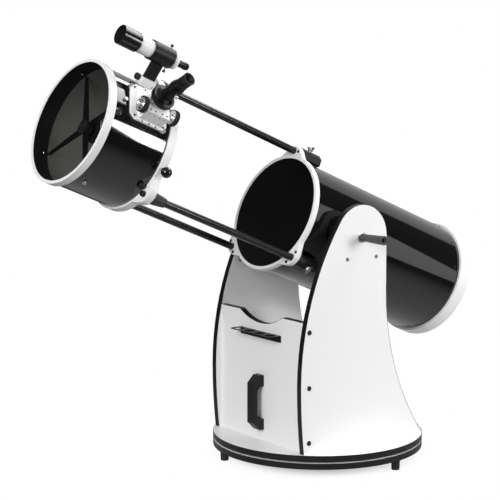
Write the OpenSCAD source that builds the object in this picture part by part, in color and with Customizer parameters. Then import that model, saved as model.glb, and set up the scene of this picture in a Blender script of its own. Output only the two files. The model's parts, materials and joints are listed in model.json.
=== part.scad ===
// Collapsible three-rod reflector telescope on a rocker-box turntable mount.
// Millimetres. Ground at z = 0, azimuth axis on Z, the tube points towards -Y.

/* [Base] */
// Radius of both round base boards
base_r = 337; // [280:1:400]
// Thickness of every board and panel
board_t = 19; // [15:0.5:25]
// Gap between the two round boards
board_gap = 5; // [3:0.5:10]
// Height of the feet under the ground board
foot_h = 34; // [15:1:50]
// Radius of a foot
foot_r = 13.5; // [8:0.5:20]
// Radius of the circle the feet stand on
foot_pitch_r = 314; // [220:1:320]
// Angle of the first foot
foot_angle = 12; // [0:1:119]
// Radius of the azimuth bolt
azimuth_bolt_r = 5; // [4:0.5:8]

/* [Rocker box] */
// Distance between the outer faces of the side panels
box_w = 462; // [440:1:520]
// Height of the altitude axis above the ground
pivot_z = 726; // [680:1:800]
// Position of the altitude axis along Y
pivot_y = -15; // [-30:1:10]
// Radius of the dome on top of a side panel
dome_r = 101; // [95:1:120]
// How far the front edge of a side panel bulges forward
front_y = -251; // [-270:1:-240]
// Height of the top of the front panel
front_top_z = 481; // [440:1:500]
// Position of the middle of the front panel along Y
front_mid_y = -219; // [-225:1:-215]
// Half width of the curved dip in the front panel
dip_half_w = 109; // [80:1:130]
// Depth of the curved dip in the front panel
dip_depth = 31; // [20:1:45]
// Radius of the eyepiece holes in the rack
rack_hole_r = 16.2; // [15.9:0.1:18]

/* [Tube] */
// Resting altitude of the tube above the horizon
altitude = 22.9; // [0:0.1:90]
// Outer radius of the tube
tube_r = 180.5; // [178:0.5:182]
// Wall of the tube
tube_wall = 1.5; // [1:0.1:3]
// Outer radius of the cast end rings
ring_r = 187.5; // [185:0.5:188.5]
// Front face of the lower tube, measured from the altitude axis
lower_front = 177; // [170:1:190]
// Rear face of the lower tube, measured from the altitude axis
lower_rear = 530; // [510:1:540]
// Radius of an altitude hub
hub_r = 76; // [70:1:80]

/* [Truss] */
// Radius of the circle the rods stand on
rod_pitch_r = 202; // [200:0.5:206]
// Radius of a rod
rod_r = 11; // [9:0.5:12]
// Angle of the two lower rods below the side
rod_low_angle = 40.6; // [30:0.2:50]
// Rear face of the upper tube, measured from the altitude axis
upper_rear = 720; // [700:1:740]
// Front face of the upper tube, measured from the altitude axis
upper_front = 961; // [940:1:980]

/* [Optics] */
// Radius of the main mirror
mirror_r = 152.5; // [150:0.5:155]
// Radius of the small diagonal mirror, across its short axis
diagonal_r = 35; // [31:0.5:38]
// Distance of the focuser axis from the altitude axis
focuser_s = 831; // [825:1:840]
// Angle of the focuser around the tube
focuser_angle = 30.5; // [20:0.5:40]
// Outer radius of the drawtube
drawtube_r = 28.5; // [27.5:0.5:30]
// Radius of an eyepiece barrel
barrel_r = 15.85; // [15.8:0.05:15.9]
// Radius of a focusing knob
focus_knob_r = 23.5; // [18:0.5:24]
// Angle of the finder around the tube
finder_angle = 70; // [66:1:76]
// Distance of the finder's axis from the tube's axis
finder_rho = 282; // [275:1:290]
// Middle of the finder's shoe, measured from the altitude axis
shoe_s = 806; // [800:1:815]

/* [Hidden] */
$fn = 96;
g = 0.3;
run = 0.06;
z_ground = foot_h;
z_gtop = foot_h + board_t;
z_rock = z_gtop + board_gap;
z_deck = z_rock + board_t;
x_out = box_w / 2;
x_in = x_out - board_t;
half = board_t / 2;
rise = pivot_z - z_deck;
bore_in = tube_r - tube_wall;
rod_angles = [90, -rod_low_angle, 180 + rod_low_angle];
post_y = 57.8;
post_z = 63.7;
post_r = norm([post_y, post_z]) - hub_r - g;
band = 1.5;
cap_z = [111, 281, 452];
ring_t = 17;
lip = 3;
cell_s = -(lower_rear - 40);
arms = [30, 150, 270];
knob_s = 62;
shaft_x = 230;
stud_r = 6;
shaft_y = -drawtube_r - 3.3;
flange_x = 246;

// Outline of a side panel as [y, z] points, drawn inwards by e.
wide_z = 284;
bulge = pivot_y - front_y;
front_r1 = (pow(pivot_z - wide_z, 2) + bulge * bulge - dome_r * dome_r) / (2 * (bulge - dome_r));
front_cy = front_y + front_r1;
front_r2 = (pow(wide_z - z_deck, 2) + 144) / 24;
tan_a = atan2(pivot_z - wide_z, pivot_y - front_cy);
back_y = pivot_y + dome_r;
flare_z = 560;
foot_back = 158;
back_r = (pow(flare_z - z_deck, 2) + foot_back * foot_back) / (2 * foot_back);
function arc(cy, cz, r, a0, a1, n) =
    [for (i = [0:n]) let (a = a0 + (a1 - a0) * i / n) [cy + r * cos(a), cz + r * sin(a)]];
function outline(e) = concat(
    arc(front_y + front_r2, wide_z, front_r2 - e,
        180 + asin((wide_z - z_deck) / (front_r2 - e)), 180, 6),
    arc(front_cy, wide_z, front_r1 - e, 179.5, tan_a + 0.5, 12),
    arc(pivot_y, pivot_z, dome_r - e, tan_a, 0, 24),
    arc(back_y + back_r, flare_z, back_r + e, 180,
        180 + asin((flare_z - z_deck) / (back_r + e)), 12));

module ota() {
    translate([0, pivot_y, pivot_z]) rotate([90 - altitude, 0, 0]) children();
}

module at(phi, s = 0) {
    translate([0, 0, s]) rotate([0, 0, phi]) children();
}

module along_x(x, y = 0, z = 0) {
    translate([x, y, z]) rotate([0, 90, 0]) children();
}

module ring(r1, r0, h, z = 0) {
    translate([0, 0, z]) difference() {
        cylinder(r = r1, h = h);
        translate([0, 0, -1]) cylinder(r = r0, h = h + 2);
    }
}

module bar(p, q) {
    translate(p) cube(q - p);
}

// ---- turntable ----
module ground_board() color("white") translate([0, 0, z_ground]) difference() {
    cylinder(r = base_r, h = board_t, $fn = 180);
    translate([0, 0, -1]) cylinder(r = azimuth_bolt_r, h = board_t + 2);
}

module feet() color("dimgray") for (k = [0:2]) rotate(foot_angle + 120 * k)
    translate([foot_pitch_r, 0, 0]) difference() {
        union() {
            cylinder(r = foot_r, h = foot_h);
            translate([0, 0, foot_h - 5]) cylinder(r = foot_r + 3, h = 5);
        }
        translate([0, 0, -1]) cylinder(r = 5, h = 9);
    }

module glide_pads() color("white") for (k = [0:2]) rotate(foot_angle + 120 * k)
    bar([262, -20, z_gtop], [292, 20, z_rock - g]);

module azimuth_bolt() color("silver") {
    translate([0, 0, z_ground - 6.5]) cylinder(r = 9, h = 6.5, $fn = 6);
    translate([0, 0, z_ground]) cylinder(r = azimuth_bolt_r, h = z_deck + 16 - z_ground);
    ring(18, azimuth_bolt_r, 2.5, z_deck + g);
    translate([0, 0, z_deck + g + 2.5]) difference() {
        cylinder(r = 9, h = 9, $fn = 6);
        translate([0, 0, -1]) cylinder(r = azimuth_bolt_r, h = 20);
    }
}

// ---- rocker box ----
module rocker_board() color("white") translate([0, 0, z_rock]) difference() {
    cylinder(r = base_r, h = board_t, $fn = 180);
    translate([0, 0, -1]) cylinder(r = azimuth_bolt_r + 7, h = board_t + 2);
}

module azimuth_bushing() color("gainsboro")
    ring(azimuth_bolt_r + 7, azimuth_bolt_r + run, board_t, z_rock);

module panel_holes() {
    for (z = cap_z) along_x(0, front_mid_y, z) cylinder(r = 3.5, h = 300);
    along_x(0, pivot_y, pivot_z) cylinder(r = 6.6, h = 300);
    for (s = [-1, 1]) along_x(0, pivot_y + s * post_y, pivot_z - post_z)
        cylinder(r = 3, h = 300);
}

module side_panel() difference() {
    translate([x_in, 0, 0]) rotate([90, 0, 90]) linear_extrude(board_t)
        polygon(outline(band));
    panel_holes();
}

module side_panel_right() color("white") side_panel();

module side_panel_left() color("white") mirror([1, 0, 0]) side_panel();

module panel_edges() color("black") {
    for (m = [0, 1]) mirror([m, 0, 0]) translate([x_in, 0, 0]) rotate([90, 0, 90])
        linear_extrude(board_t) difference() {
            polygon(outline(0));
            polygon(outline(band));
            translate([-500, z_deck - 40]) square([1000, 40]);
        }
    translate([0, front_mid_y + half, 0]) rotate([90, 0, 0]) linear_extrude(board_t)
        difference() {
            front_shape(0);
            front_shape(band);
        }
}

dip_r = (dip_half_w * dip_half_w + dip_depth * dip_depth) / (2 * dip_depth);
module front_shape(e) difference() {
    translate([-x_in, z_deck]) square([2 * x_in, front_top_z - e - z_deck]);
    translate([0, front_top_z - dip_depth + dip_r]) circle(r = dip_r + e, $fn = 240);
}

module front_panel() color("white") difference() {
    translate([0, front_mid_y + half, 0]) rotate([90, 0, 0]) linear_extrude(board_t)
        front_shape(band);
    for (z = cap_z) along_x(-x_in - 1, front_mid_y, z) cylinder(r = 3.5, h = 41);
    for (z = cap_z) along_x(x_in - 40, front_mid_y, z) cylinder(r = 3.5, h = 41);
    for (z = [128, 271]) translate([0, front_mid_y, z]) rotate([90, 0, 0])
        cylinder(r = 2.5, h = 60, center = true);
}

module panel_screws() color("black") {
    for (m = [0, 1]) mirror([m, 0, 0]) {
        for (z = cap_z) along_x(x_in - 40, front_mid_y, z) {
            cylinder(r = 3.5, h = 40 + board_t);
            translate([0, 0, 40 + board_t]) cylinder(r1 = 8, r2 = 6.5, h = 2.5);
        }
        for (s = [-1, 1]) along_x(x_in - 18, pivot_y + s * post_y, pivot_z - post_z) {
            cylinder(r = 3, h = 18 + board_t);
            translate([0, 0, 18 + board_t]) cylinder(r1 = 6, r2 = 5, h = 2.2);
        }
    }
}

module altitude_posts() color("white") for (m = [0, 1]) mirror([m, 0, 0])
    for (s = [-1, 1]) along_x(x_in - 26, pivot_y + s * post_y, pivot_z - post_z)
        difference() {
            cylinder(r = post_r, h = 26);
            translate([0, 0, 8]) cylinder(r = 3, h = 30);
        }

// Upright grip on the front panel.
handle_y = front_mid_y - half;
module carry_handle() color("black") difference() {
    translate([-17, 0, 0]) rotate([90, 0, 90]) linear_extrude(34) polygon([
        [handle_y, 112], [handle_y - 16, 112], [handle_y - 40, 136], [handle_y - 40, 262],
        [handle_y - 16, 286], [handle_y, 286], [handle_y, 251], [handle_y - 14, 251],
        [handle_y - 25, 240], [handle_y - 25, 158], [handle_y - 14, 147], [handle_y, 147]]);
    for (z = [128, 271]) translate([0, handle_y, z]) rotate([90, 0, 0])
        cylinder(r = 2.5, h = 26, center = true);
}

module fittings_screws() color("silver") {
    for (z = [128, 271]) translate([0, handle_y + board_t, z]) rotate([90, 0, 0]) {
        cylinder(r = 2.5, h = board_t + 12);
        translate([0, 0, -3]) cylinder(r1 = 5, r2 = 6, h = 3);
    }
    for (x = [-92, 0, 92]) translate([x, handle_y - 2, 412]) rotate([90, 0, 0])
        cylinder(r1 = 4.5, r2 = 3, h = 2);
}

// Shelf with four eyepiece holes.
module eyepiece_rack() color("black") difference() {
    union() {
        bar([-104, handle_y - 2, 402], [104, handle_y, 424]);
        translate([0, 0, 422]) linear_extrude(2) polygon([
            [-104, handle_y], [-104, handle_y - 38], [-96, handle_y - 46],
            [96, handle_y - 46], [104, handle_y - 38], [104, handle_y]]);
    }
    for (x = [-78, -26, 26, 78]) translate([x, handle_y - 23.5, 400])
        cylinder(r = rack_hole_r, h = 40);
}

// ---- altitude bearings ----
module altitude_hubs() color("black") for (m = [0, 1]) mirror([m, 0, 0]) {
    difference() {
        along_x(150, pivot_y, pivot_z) cylinder(r = hub_r, h = x_in - g - 150);
        ota() translate([0, 0, -150]) cylinder(r = tube_r, h = 300);
    }
    along_x(x_in - 10, pivot_y, pivot_z) cylinder(r = stud_r, h = board_t + 10 + 24);
}

module tension_handle() color("dimgray") along_x(x_out + g, pivot_y, pivot_z) {
    difference() {
        union() {
            cylinder(r = 17, h = 2);
            translate([0, 0, 2]) cylinder(r1 = 12.5, r2 = 11.5, h = 12);
            translate([0, 0, 14]) cylinder(r1 = 11.5, r2 = 14.5, h = 88);
        }
        translate([0, 0, -1]) cylinder(r = stud_r + run, h = 26);
        translate([0, 0, 98]) cylinder(r = 10, h = 10);
    }
}

module tension_handle_right() tension_handle();

module tension_handle_left() mirror([1, 0, 0]) tension_handle();

// ---- lower tube ----
module lobes() for (a = rod_angles) rotate(a) polygon([
    [160, -62], [176, -57], [186, -47], [196, -38], [205, -30], [212, -22], [216.5, -14],
    [218, -6], [218, 6], [216.5, 14], [212, 22], [205, 30], [196, 38], [186, 47],
    [176, 57], [160, 62]]);

module lower_tube() color("black") ota()
    ring(tube_r, bore_in, lower_front - lip + lower_rear - 30, 30 - lower_rear);

module lower_front_ring() color("white") ota() difference() {
    translate([0, 0, lower_front - ring_t]) linear_extrude(ring_t) union() {
        circle(r = ring_r, $fn = 180);
        lobes();
    }
    translate([0, 0, lower_front - ring_t - 1]) cylinder(r = tube_r, h = ring_t - lip + 1);
    translate([0, 0, 0]) cylinder(r = bore_in - 1.5, h = 300);
    for (a = rod_angles) at(a) translate([rod_pitch_r, 0, 0]) cylinder(r = rod_r + 0.5, h = 300);
}

module lower_ring_screws() color("black") ota() for (a = rod_angles) for (k = [-1, 1])
    at(a, lower_front) translate([rod_pitch_r - 1, 22.7 * k, 0]) cylinder(r1 = 5, r2 = 4, h = 2.5);

clamp_s = lower_front - ring_t - 88;
lock_z = 44;
module rod_clamps() color("black") ota() difference() {
    for (a = rod_angles) at(a, clamp_s) difference() {
        union() {
            translate([0, 0, 8]) linear_extrude(80) polygon([
                [170, -12], [184, -12], [190, -17], [211, -17], [219, -10],
                [219, 10], [211, 17], [190, 17], [184, 12], [170, 12]]);
            linear_extrude(10) polygon([
                [186, -10], [190, -14], [209, -14], [215, -8],
                [215, 8], [209, 14], [190, 14], [186, 10]]);
        }
        translate([rod_pitch_r, 0, -1]) cylinder(r = rod_r + run, h = 100);
        translate([rod_pitch_r, 0, lock_z]) rotate([0, 90, 0]) cylinder(r = 4 + run, h = 60);
    }
    cylinder(r = tube_r, h = 300);
}

module rod_lock(a) color("silver") ota() at(a, clamp_s + lock_z) {
    translate([rod_pitch_r + rod_r + 0.4, 0, 0]) rotate([0, 90, 0]) cylinder(r = 4, h = 16);
    translate([224, 0, 0]) rotate([0, 90, 0]) cylinder(r1 = 9, r2 = 7, h = 10);
    bar([227, -2, -17], [236, 2, 17]);
}

module rod_lock_top() rod_lock(rod_angles[0]);

module rod_lock_right() rod_lock(rod_angles[1]);

module rod_lock_left() rod_lock(rod_angles[2]);

module rear_casting() color("white") ota() {
    difference() {
        translate([0, 0, -lower_rear]) cylinder(r = ring_r + 1, h = 42.5, $fn = 180);
        translate([0, 0, -lower_rear + 30]) cylinder(r = tube_r, h = 42.5);
        translate([0, 0, -lower_rear - 1]) cylinder(r = 166, h = 60);
    }
    difference() {
        translate([0, 0, -lower_rear + 2]) union() {
            cylinder(r = 42, h = 8);
            for (a = arms) at(a) bar([0, -16, 0], [166.5, 16, 8]);
        }
        for (a = arms) at(a, -lower_rear) translate([120, 0, 0]) cylinder(r = 3 + run, h = 20);
    }
}

module mirror_cell() color("dimgray") ota() translate([0, 0, cell_s]) {
    difference() {
        union() {
            ring(160, 106, 10);
            cylinder(r = 46, h = 10);
            for (a = arms) at(a) bar([40, -15, 0], [110, 15, 10]);
        }
        for (a = arms) at(a, -1) translate([120, 0, 0]) cylinder(r = 3 + run, h = 9);
    }
    for (a = arms) at(a + 60) difference() {
        bar([mirror_r - 12, -10, 9], [158, 10, 48]);
        translate([0, 0, 10]) cylinder(r = mirror_r, h = 34);
    }
}

module primary_mirror() color("lightblue") ota() translate([0, 0, cell_s + 10])
    rotate_extrude() polygon(concat([[0, 0], [mirror_r, 0]],
        [for (i = [6:-1:0]) let (r = mirror_r * i / 6) [r, 29 + r * r / 6000]]));

module collimation_springs() color("silver") ota() for (a = arms)
    at(a, -lower_rear + 10) translate([120, 0, 0]) ring(7, 4.5, 30);

module collimation_knob(a) color("black") ota() at(a, -lower_rear) translate([120, 0, 0]) {
    translate([0, 0, 1.7]) cylinder(r = 3, h = 45);
    translate([0, 0, -15]) cylinder(r = 11, h = 16.7);
}

module collimation_knob_a() collimation_knob(arms[0]);

module collimation_knob_b() collimation_knob(arms[1]);

module collimation_knob_c() collimation_knob(arms[2]);

// ---- upper tube and truss ----
rod_end = upper_rear + 20;
module truss_rods() color("black") ota() for (a = rod_angles)
    at(a, clamp_s + 10) translate([rod_pitch_r, 0, 0]) cylinder(r = rod_r, h = rod_end - clamp_s - 10);

module rod_collars() color("dimgray") ota() for (a = rod_angles)
    at(a, upper_rear - 48) translate([rod_pitch_r, 0, 0]) difference() {
        union() {
            cylinder(r1 = rod_r + 3, r2 = rod_r + 8, h = 40);
            translate([0, 0, 40]) cylinder(r = rod_r + 8, h = 8);
        }
        translate([0, 0, -1]) cylinder(r = rod_r, h = 60);
    }

module upper_rear_ring() color("white") ota() difference() {
    translate([0, 0, upper_rear]) linear_extrude(25) union() {
        circle(r = ring_r, $fn = 180);
        lobes();
    }
    translate([0, 0, upper_rear + lip]) cylinder(r = tube_r, h = 60);
    translate([0, 0, upper_rear - 1]) cylinder(r = bore_in - 1.5, h = 60);
    for (a = rod_angles) at(a, upper_rear - 1) translate([rod_pitch_r, 0, 0]) cylinder(r = rod_r, h = 21);
}

module upper_ring_knobs() color("black") ota() for (a = rod_angles) {
    at(a, upper_rear + 25) translate([rod_pitch_r - 2, 0, 0]) cylinder(r1 = 9.5, r2 = 8, h = 11);
    at(a + 4.5, upper_rear + 41) rotate([0, 90, 0]) difference() {
        cylinder(r = 8.5, h = tube_r + 11);
        translate([-60, 0, 0]) rotate([0, 90, 0]) cylinder(r = tube_r, h = 120);
    }
}

module upper_tube() color("black") ota() difference() {
    ring(tube_r, bore_in, upper_front - upper_rear - 2 * lip, upper_rear + lip);
    at(focuser_angle, focuser_s) rotate([0, 90, 0]) cylinder(r = drawtube_r + 2, h = 250);
}

module upper_front_ring() color("white") ota() translate([0, 0, upper_front - 23.5]) difference() {
    cylinder(r = ring_r, h = 23.5, $fn = 180);
    translate([0, 0, -1]) cylinder(r = tube_r, h = 24.5 - lip);
    cylinder(r = bore_in - 1, h = 60);
}

module pull_knob() color("black") ota() at(-15.5, upper_rear + 12) {
    translate([212, 0, 0]) sphere(r = 16, $fn = 40);
    translate([ring_r - 1, 0, 0]) rotate([0, 90, 0]) difference() {
        cylinder(r = 5.5, h = 14);
        translate([0, 0, 1 - ring_r]) rotate([0, -90, 0]) translate([0, 0, -20])
            cylinder(r = ring_r, h = 40);
    }
}

// ---- diagonal mirror ----
spider_s = upper_front - 56;
module spider() color("black") ota() at(focuser_angle, spider_s) {
    difference() {
        cylinder(r = 21, h = 24, center = true);
        cylinder(r = 4, h = 40, center = true);
    }
    for (k = [0:3]) rotate(90 * k) rotate([90, 0, 0]) linear_extrude(1.6, center = true)
        polygon([[20.5, -11], [bore_in - 8, -6], [bore_in - 0.01, -6], [bore_in - 0.01, 6],
            [bore_in - 8, 6], [20.5, 11]]);
}

module spider_screws() color("silver") ota() at(focuser_angle, spider_s)
    for (k = [0:3]) rotate(90 * k) translate([tube_r, 0, 0]) rotate([0, 90, 0])
        cylinder(r1 = 6, r2 = 5, h = 7);

module diagonal_cut(d) translate([0, 0, focuser_s]) rotate([0, -45, 0])
    translate([-120, -60, d]) cube([240, 120, 200]);

module diagonal_holder() color("dimgray") ota() at(focuser_angle) {
    intersection() {
        translate([0, 0, focuser_s - 60]) cylinder(r = diagonal_r - 1, h = spider_s - 20 - focuser_s + 60);
        diagonal_cut(10);
    }
    translate([0, 0, spider_s - 20]) cylinder(r = 4, h = 34);
    for (k = [0:2]) rotate(60 + 120 * k) translate([14, 0, spider_s + 12]) cylinder(r = 3.5, h = 4);
    for (k = [0:2]) rotate(60 + 120 * k) translate([14, 0, spider_s - 20]) cylinder(r = 2, h = 8);
}

module diagonal_mirror() color("lightblue") ota() at(focuser_angle) intersection() {
    translate([0, 0, focuser_s - 60]) cylinder(r = diagonal_r, h = 120);
    difference() {
        diagonal_cut(0);
        diagonal_cut(10);
    }
}

// ---- focuser ----
module on_focuser() ota() at(focuser_angle, focuser_s) children();

module plate_shape(a, b, c) polygon([
    [-a, -b + c], [-a + c, -b], [a - c, -b], [a, -b + c],
    [a, b - c], [a - c, b], [-a + c, b], [-a, b - c]]);

module slab(x, t) translate([x, 0, 0]) rotate([90, 0, 90]) linear_extrude(t) children();

module focuser_saddle() color("black") on_focuser() difference() {
    slab(140, 46) plate_shape(62, 66, 10);
    translate([0, 0, -100]) cylinder(r = tube_r, h = 200);
    rotate([0, 90, 0]) cylinder(r = drawtube_r + 2, h = 250);
}

module focuser_body() color("white") on_focuser() difference() {
    union() {
        slab(186, 6) plate_shape(58, 63, 16);
        slab(192, 22) plate_shape(41, 40, 8);
        translate([190, 0, 0]) rotate([0, 90, 0]) cylinder(r = drawtube_r + 7, h = 38);
        bar([192, -52, -38], [237, -18, 38]);
    }
    translate([180, 0, 0]) rotate([0, 90, 0]) cylinder(r = drawtube_r + run, h = 100);
    translate([shaft_x, shaft_y, -60]) cylinder(r = 3 + run, h = 120);
    translate([208, 20, 0]) rotate([-90, 0, 0]) cylinder(r = 2.5 + run, h = 50);
    translate([shaft_x - 6.5, shaft_y + 0.5, -14]) cube([13, 20, 28]);
}

module focuser_screws() color("black") on_focuser() {
    for (y = [-47, 47]) for (z = [-50, 50])
        translate([192, y, z]) rotate([0, 90, 0]) cylinder(r = 3.5, h = 2);
    for (z = [-22, 22]) translate([237, -35 - 8, z]) rotate([0, 90, 0]) cylinder(r = 3, h = 1.5);
    for (z = [-30, 30]) translate([214, 34, z]) rotate([0, 90, 0]) cylinder(r = 2.5, h = 1.5);
}

module drawtube() color("silver") on_focuser() rotate([0, 90, 0]) difference() {
    translate([0, 0, 168]) cylinder(r = drawtube_r, h = flange_x - 168);
    translate([0, 0, 160]) cylinder(r = 25.5, h = 200);
}

module eyepiece_adapter() color("black") on_focuser() difference() {
    rotate([0, 90, 0]) {
        translate([0, 0, flange_x - 8]) cylinder(r = 25.4, h = 9);
        translate([0, 0, flange_x]) cylinder(r = 36, h = 16);
        translate([0, 0, flange_x + 16]) cylinder(r1 = 29, r2 = 21, h = 7);
        translate([0, 0, flange_x + 16]) cylinder(r = 18.6, h = 44);
        translate([0, 0, flange_x + 60]) cylinder(r = 21.5, h = 14);
    }
    translate([200, 0, 0]) rotate([0, 90, 0]) cylinder(r = barrel_r + run, h = 200);
    translate([flange_x + 66, 0, 0]) rotate([90, 0, 0]) cylinder(r = 2.06, h = 60);
}

module eyepiece_set_screw() color("silver") on_focuser()
    translate([flange_x + 66, 0, 0]) rotate([90, 0, 0]) {
        translate([0, 0, barrel_r + 0.4]) cylinder(r = 2, h = 12);
        translate([0, 0, 24]) cylinder(r1 = 5, r2 = 5.5, h = 11);
    }

module focus_knobs() color("silver") on_focuser() translate([shaft_x, shaft_y, -2.5]) {
    cylinder(r = 3, h = 2 * knob_s - 20, center = true);
    for (m = [0, 1]) mirror([0, 0, m]) translate([0, 0, knob_s - 16]) {
        translate([0, 0, -5]) cylinder(r = 9, h = 5.5);
        cylinder(r = focus_knob_r, h = 16);
    }
}

module drawtube_lock() color("silver") on_focuser() translate([208, 0, 0]) rotate([-90, 0, 0]) {
    translate([0, 0, drawtube_r + 0.4]) cylinder(r = 2.5, h = 16);
    translate([0, 0, 43.5]) cylinder(r1 = 7, r2 = 8, h = 12);
}

eye_x = flange_x + 74 + g;
module eyepiece() color("black") on_focuser() rotate([0, 90, 0]) difference() {
    union() {
        translate([0, 0, eye_x - 26]) cylinder(r = barrel_r, h = 26.5);
        translate([0, 0, eye_x]) cylinder(r1 = 19, r2 = 20, h = 6);
        translate([0, 0, eye_x + 6]) cylinder(r1 = 18.8, r2 = 18, h = 26);
        translate([0, 0, eye_x + 32]) cylinder(r1 = 18, r2 = 19, h = 16);
    }
    translate([0, 0, eye_x - 27]) cylinder(r = 12.5, h = 24);
    translate([0, 0, eye_x + 34]) cylinder(r1 = 8, r2 = 14, h = 15);
}

// ---- finder ----
module on_finder() ota() at(finder_angle, shoe_s) children();

module finder_shoe() color("white") on_finder() difference() {
    union() {
        bar([172, -17, -24], [204, 17, 24]);
        bar([186, -11, 20], [204, 11, 27]);
    }
    translate([0, 0, -100]) cylinder(r = tube_r, h = 200);
    translate([190, 0, -30]) linear_extrude(50) polygon([
        [0, -11.3], [15, -8], [15, 8], [0, 11.3]]);
    translate([197, 0, 0]) cylinder(r = 3 + run, h = 60);
}

module finder_clamp() color("black") on_finder() {
    translate([197, 0, 19.9]) cylinder(r = 3, h = 10);
    translate([197, 0, 27.5]) cylinder(r1 = 9, r2 = 10, h = 13);
}

fs = [-96, -56, -34, 41, 88, 148];
module finder_bracket() color("black") on_finder() {
    translate([190.4, 0, -24]) linear_extrude(43) polygon([
        [0, -10.9], [13.6, -7.8], [13.6, 7.8], [0, 10.9]]);
    difference() {
        bar([203.9, -7, -20], [finder_rho - 27, 7, 16]);
        translate([finder_rho, 0, -60]) cylinder(r = 28, h = 120);
    }
    translate([finder_rho, 0, 0]) {
        ring(29, 26.5, fs[3] - fs[2], fs[2]);
        ring(27, 25, 5, fs[3] - 7);
    }
    translate([197, 0, -34]) cylinder(r = 7, h = 10);
}

module finder_screws() color("silver") on_finder() translate([finder_rho, 0, fs[2] + 5])
    for (a = [30, 190, 110]) rotate(a) rotate([0, 90, 0]) {
        translate([0, 0, 29]) cylinder(r = 2, h = 12);
        translate([0, 0, 36]) cylinder(r = 4.5, h = 7);
    }

module finder_tube() color("white") on_finder() translate([finder_rho, 0, 0]) {
    ring(25, 23, fs[4] + 6 - fs[2] + 2, fs[2] - 2);
    ring(24.5, 10.5, 16, fs[2] - 18);
}

module finder_hood() color("black") on_finder() translate([finder_rho, 0, 0]) {
    ring(28.5, 26, fs[5] - fs[4], fs[4]);
    ring(26, 25, 6, fs[4]);
}

module finder_lens() color("lightblue") on_finder() translate([finder_rho, 0, fs[4] - 4])
    cylinder(r = 23, h = 7);

module finder_eyepiece() color("black") on_finder() translate([finder_rho, 0, 0]) {
    translate([0, 0, fs[0]]) cylinder(r1 = 9.5, r2 = 11.5, h = 12);
    translate([0, 0, fs[0] + 12]) cylinder(r = 10.5, h = fs[2] - fs[0] - 14);
}

ground_board();
feet();
glide_pads();
azimuth_bolt();
rocker_board();
azimuth_bushing();
side_panel_right();
side_panel_left();
front_panel();
panel_edges();
panel_screws();
altitude_posts();
carry_handle();
fittings_screws();
eyepiece_rack();
altitude_hubs();
tension_handle_right();
tension_handle_left();
lower_tube();
lower_front_ring();
lower_ring_screws();
rod_clamps();
rod_lock_top();
rod_lock_right();
rod_lock_left();
rear_casting();
mirror_cell();
primary_mirror();
collimation_springs();
collimation_knob_a();
collimation_knob_b();
collimation_knob_c();
truss_rods();
rod_collars();
upper_rear_ring();
upper_ring_knobs();
upper_tube();
upper_front_ring();
pull_knob();
spider();
spider_screws();
diagonal_holder();
diagonal_mirror();
focuser_saddle();
focuser_body();
focuser_screws();
drawtube();
eyepiece_adapter();
eyepiece_set_screw();
focus_knobs();
drawtube_lock();
eyepiece();
finder_shoe();
finder_clamp();
finder_bracket();
finder_screws();
finder_tube();
finder_hood();
finder_lens();
finder_eyepiece();
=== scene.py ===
import json
import math

import bmesh
import bpy
from mathutils import Matrix, Vector


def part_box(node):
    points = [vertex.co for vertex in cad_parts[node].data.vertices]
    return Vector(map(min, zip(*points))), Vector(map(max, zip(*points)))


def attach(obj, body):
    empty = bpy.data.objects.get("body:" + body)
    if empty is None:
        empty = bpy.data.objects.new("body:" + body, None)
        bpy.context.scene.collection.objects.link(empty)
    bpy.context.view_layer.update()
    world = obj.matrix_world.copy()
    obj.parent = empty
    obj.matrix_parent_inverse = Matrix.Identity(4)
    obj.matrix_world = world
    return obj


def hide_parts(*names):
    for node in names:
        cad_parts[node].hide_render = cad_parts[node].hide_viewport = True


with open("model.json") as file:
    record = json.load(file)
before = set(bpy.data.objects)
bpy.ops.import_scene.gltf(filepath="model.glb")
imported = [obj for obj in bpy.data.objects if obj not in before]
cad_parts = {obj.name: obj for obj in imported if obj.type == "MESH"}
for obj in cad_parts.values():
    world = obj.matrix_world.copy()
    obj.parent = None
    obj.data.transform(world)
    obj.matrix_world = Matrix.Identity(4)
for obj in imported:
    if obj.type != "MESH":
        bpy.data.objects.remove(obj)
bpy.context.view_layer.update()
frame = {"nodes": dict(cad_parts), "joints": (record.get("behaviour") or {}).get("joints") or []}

# ---- Round boards ----
# The ground board and the rocker board are cut from white melamine-faced particle board.
# A strip of black plastic edging is glued round each rim and trimmed flush.
MM = 0.001
ease_board = 0.7
edging_t = 1.0
white_board = (0.90, 0.90, 0.905, 1)
grey_smudge = (0.70, 0.70, 0.69, 1)
black_strip = (0.005, 0.005, 0.0055, 1)
rubbed_strip = (0.022, 0.022, 0.023, 1)
upright = Matrix.Identity(4)


def wire(tree, kind, settings=(), inputs=()):
    """Adds a node; an input is a value, or the output socket that feeds it."""
    node = tree.nodes.new(kind)
    for name, value in dict(settings).items():
        setattr(node, name, value)
    for name, value in dict(inputs).items():
        if isinstance(value, bpy.types.NodeSocket):
            tree.links.new(value, node.inputs[name])
        else:
            node.inputs[name].default_value = value
    return node


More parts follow.
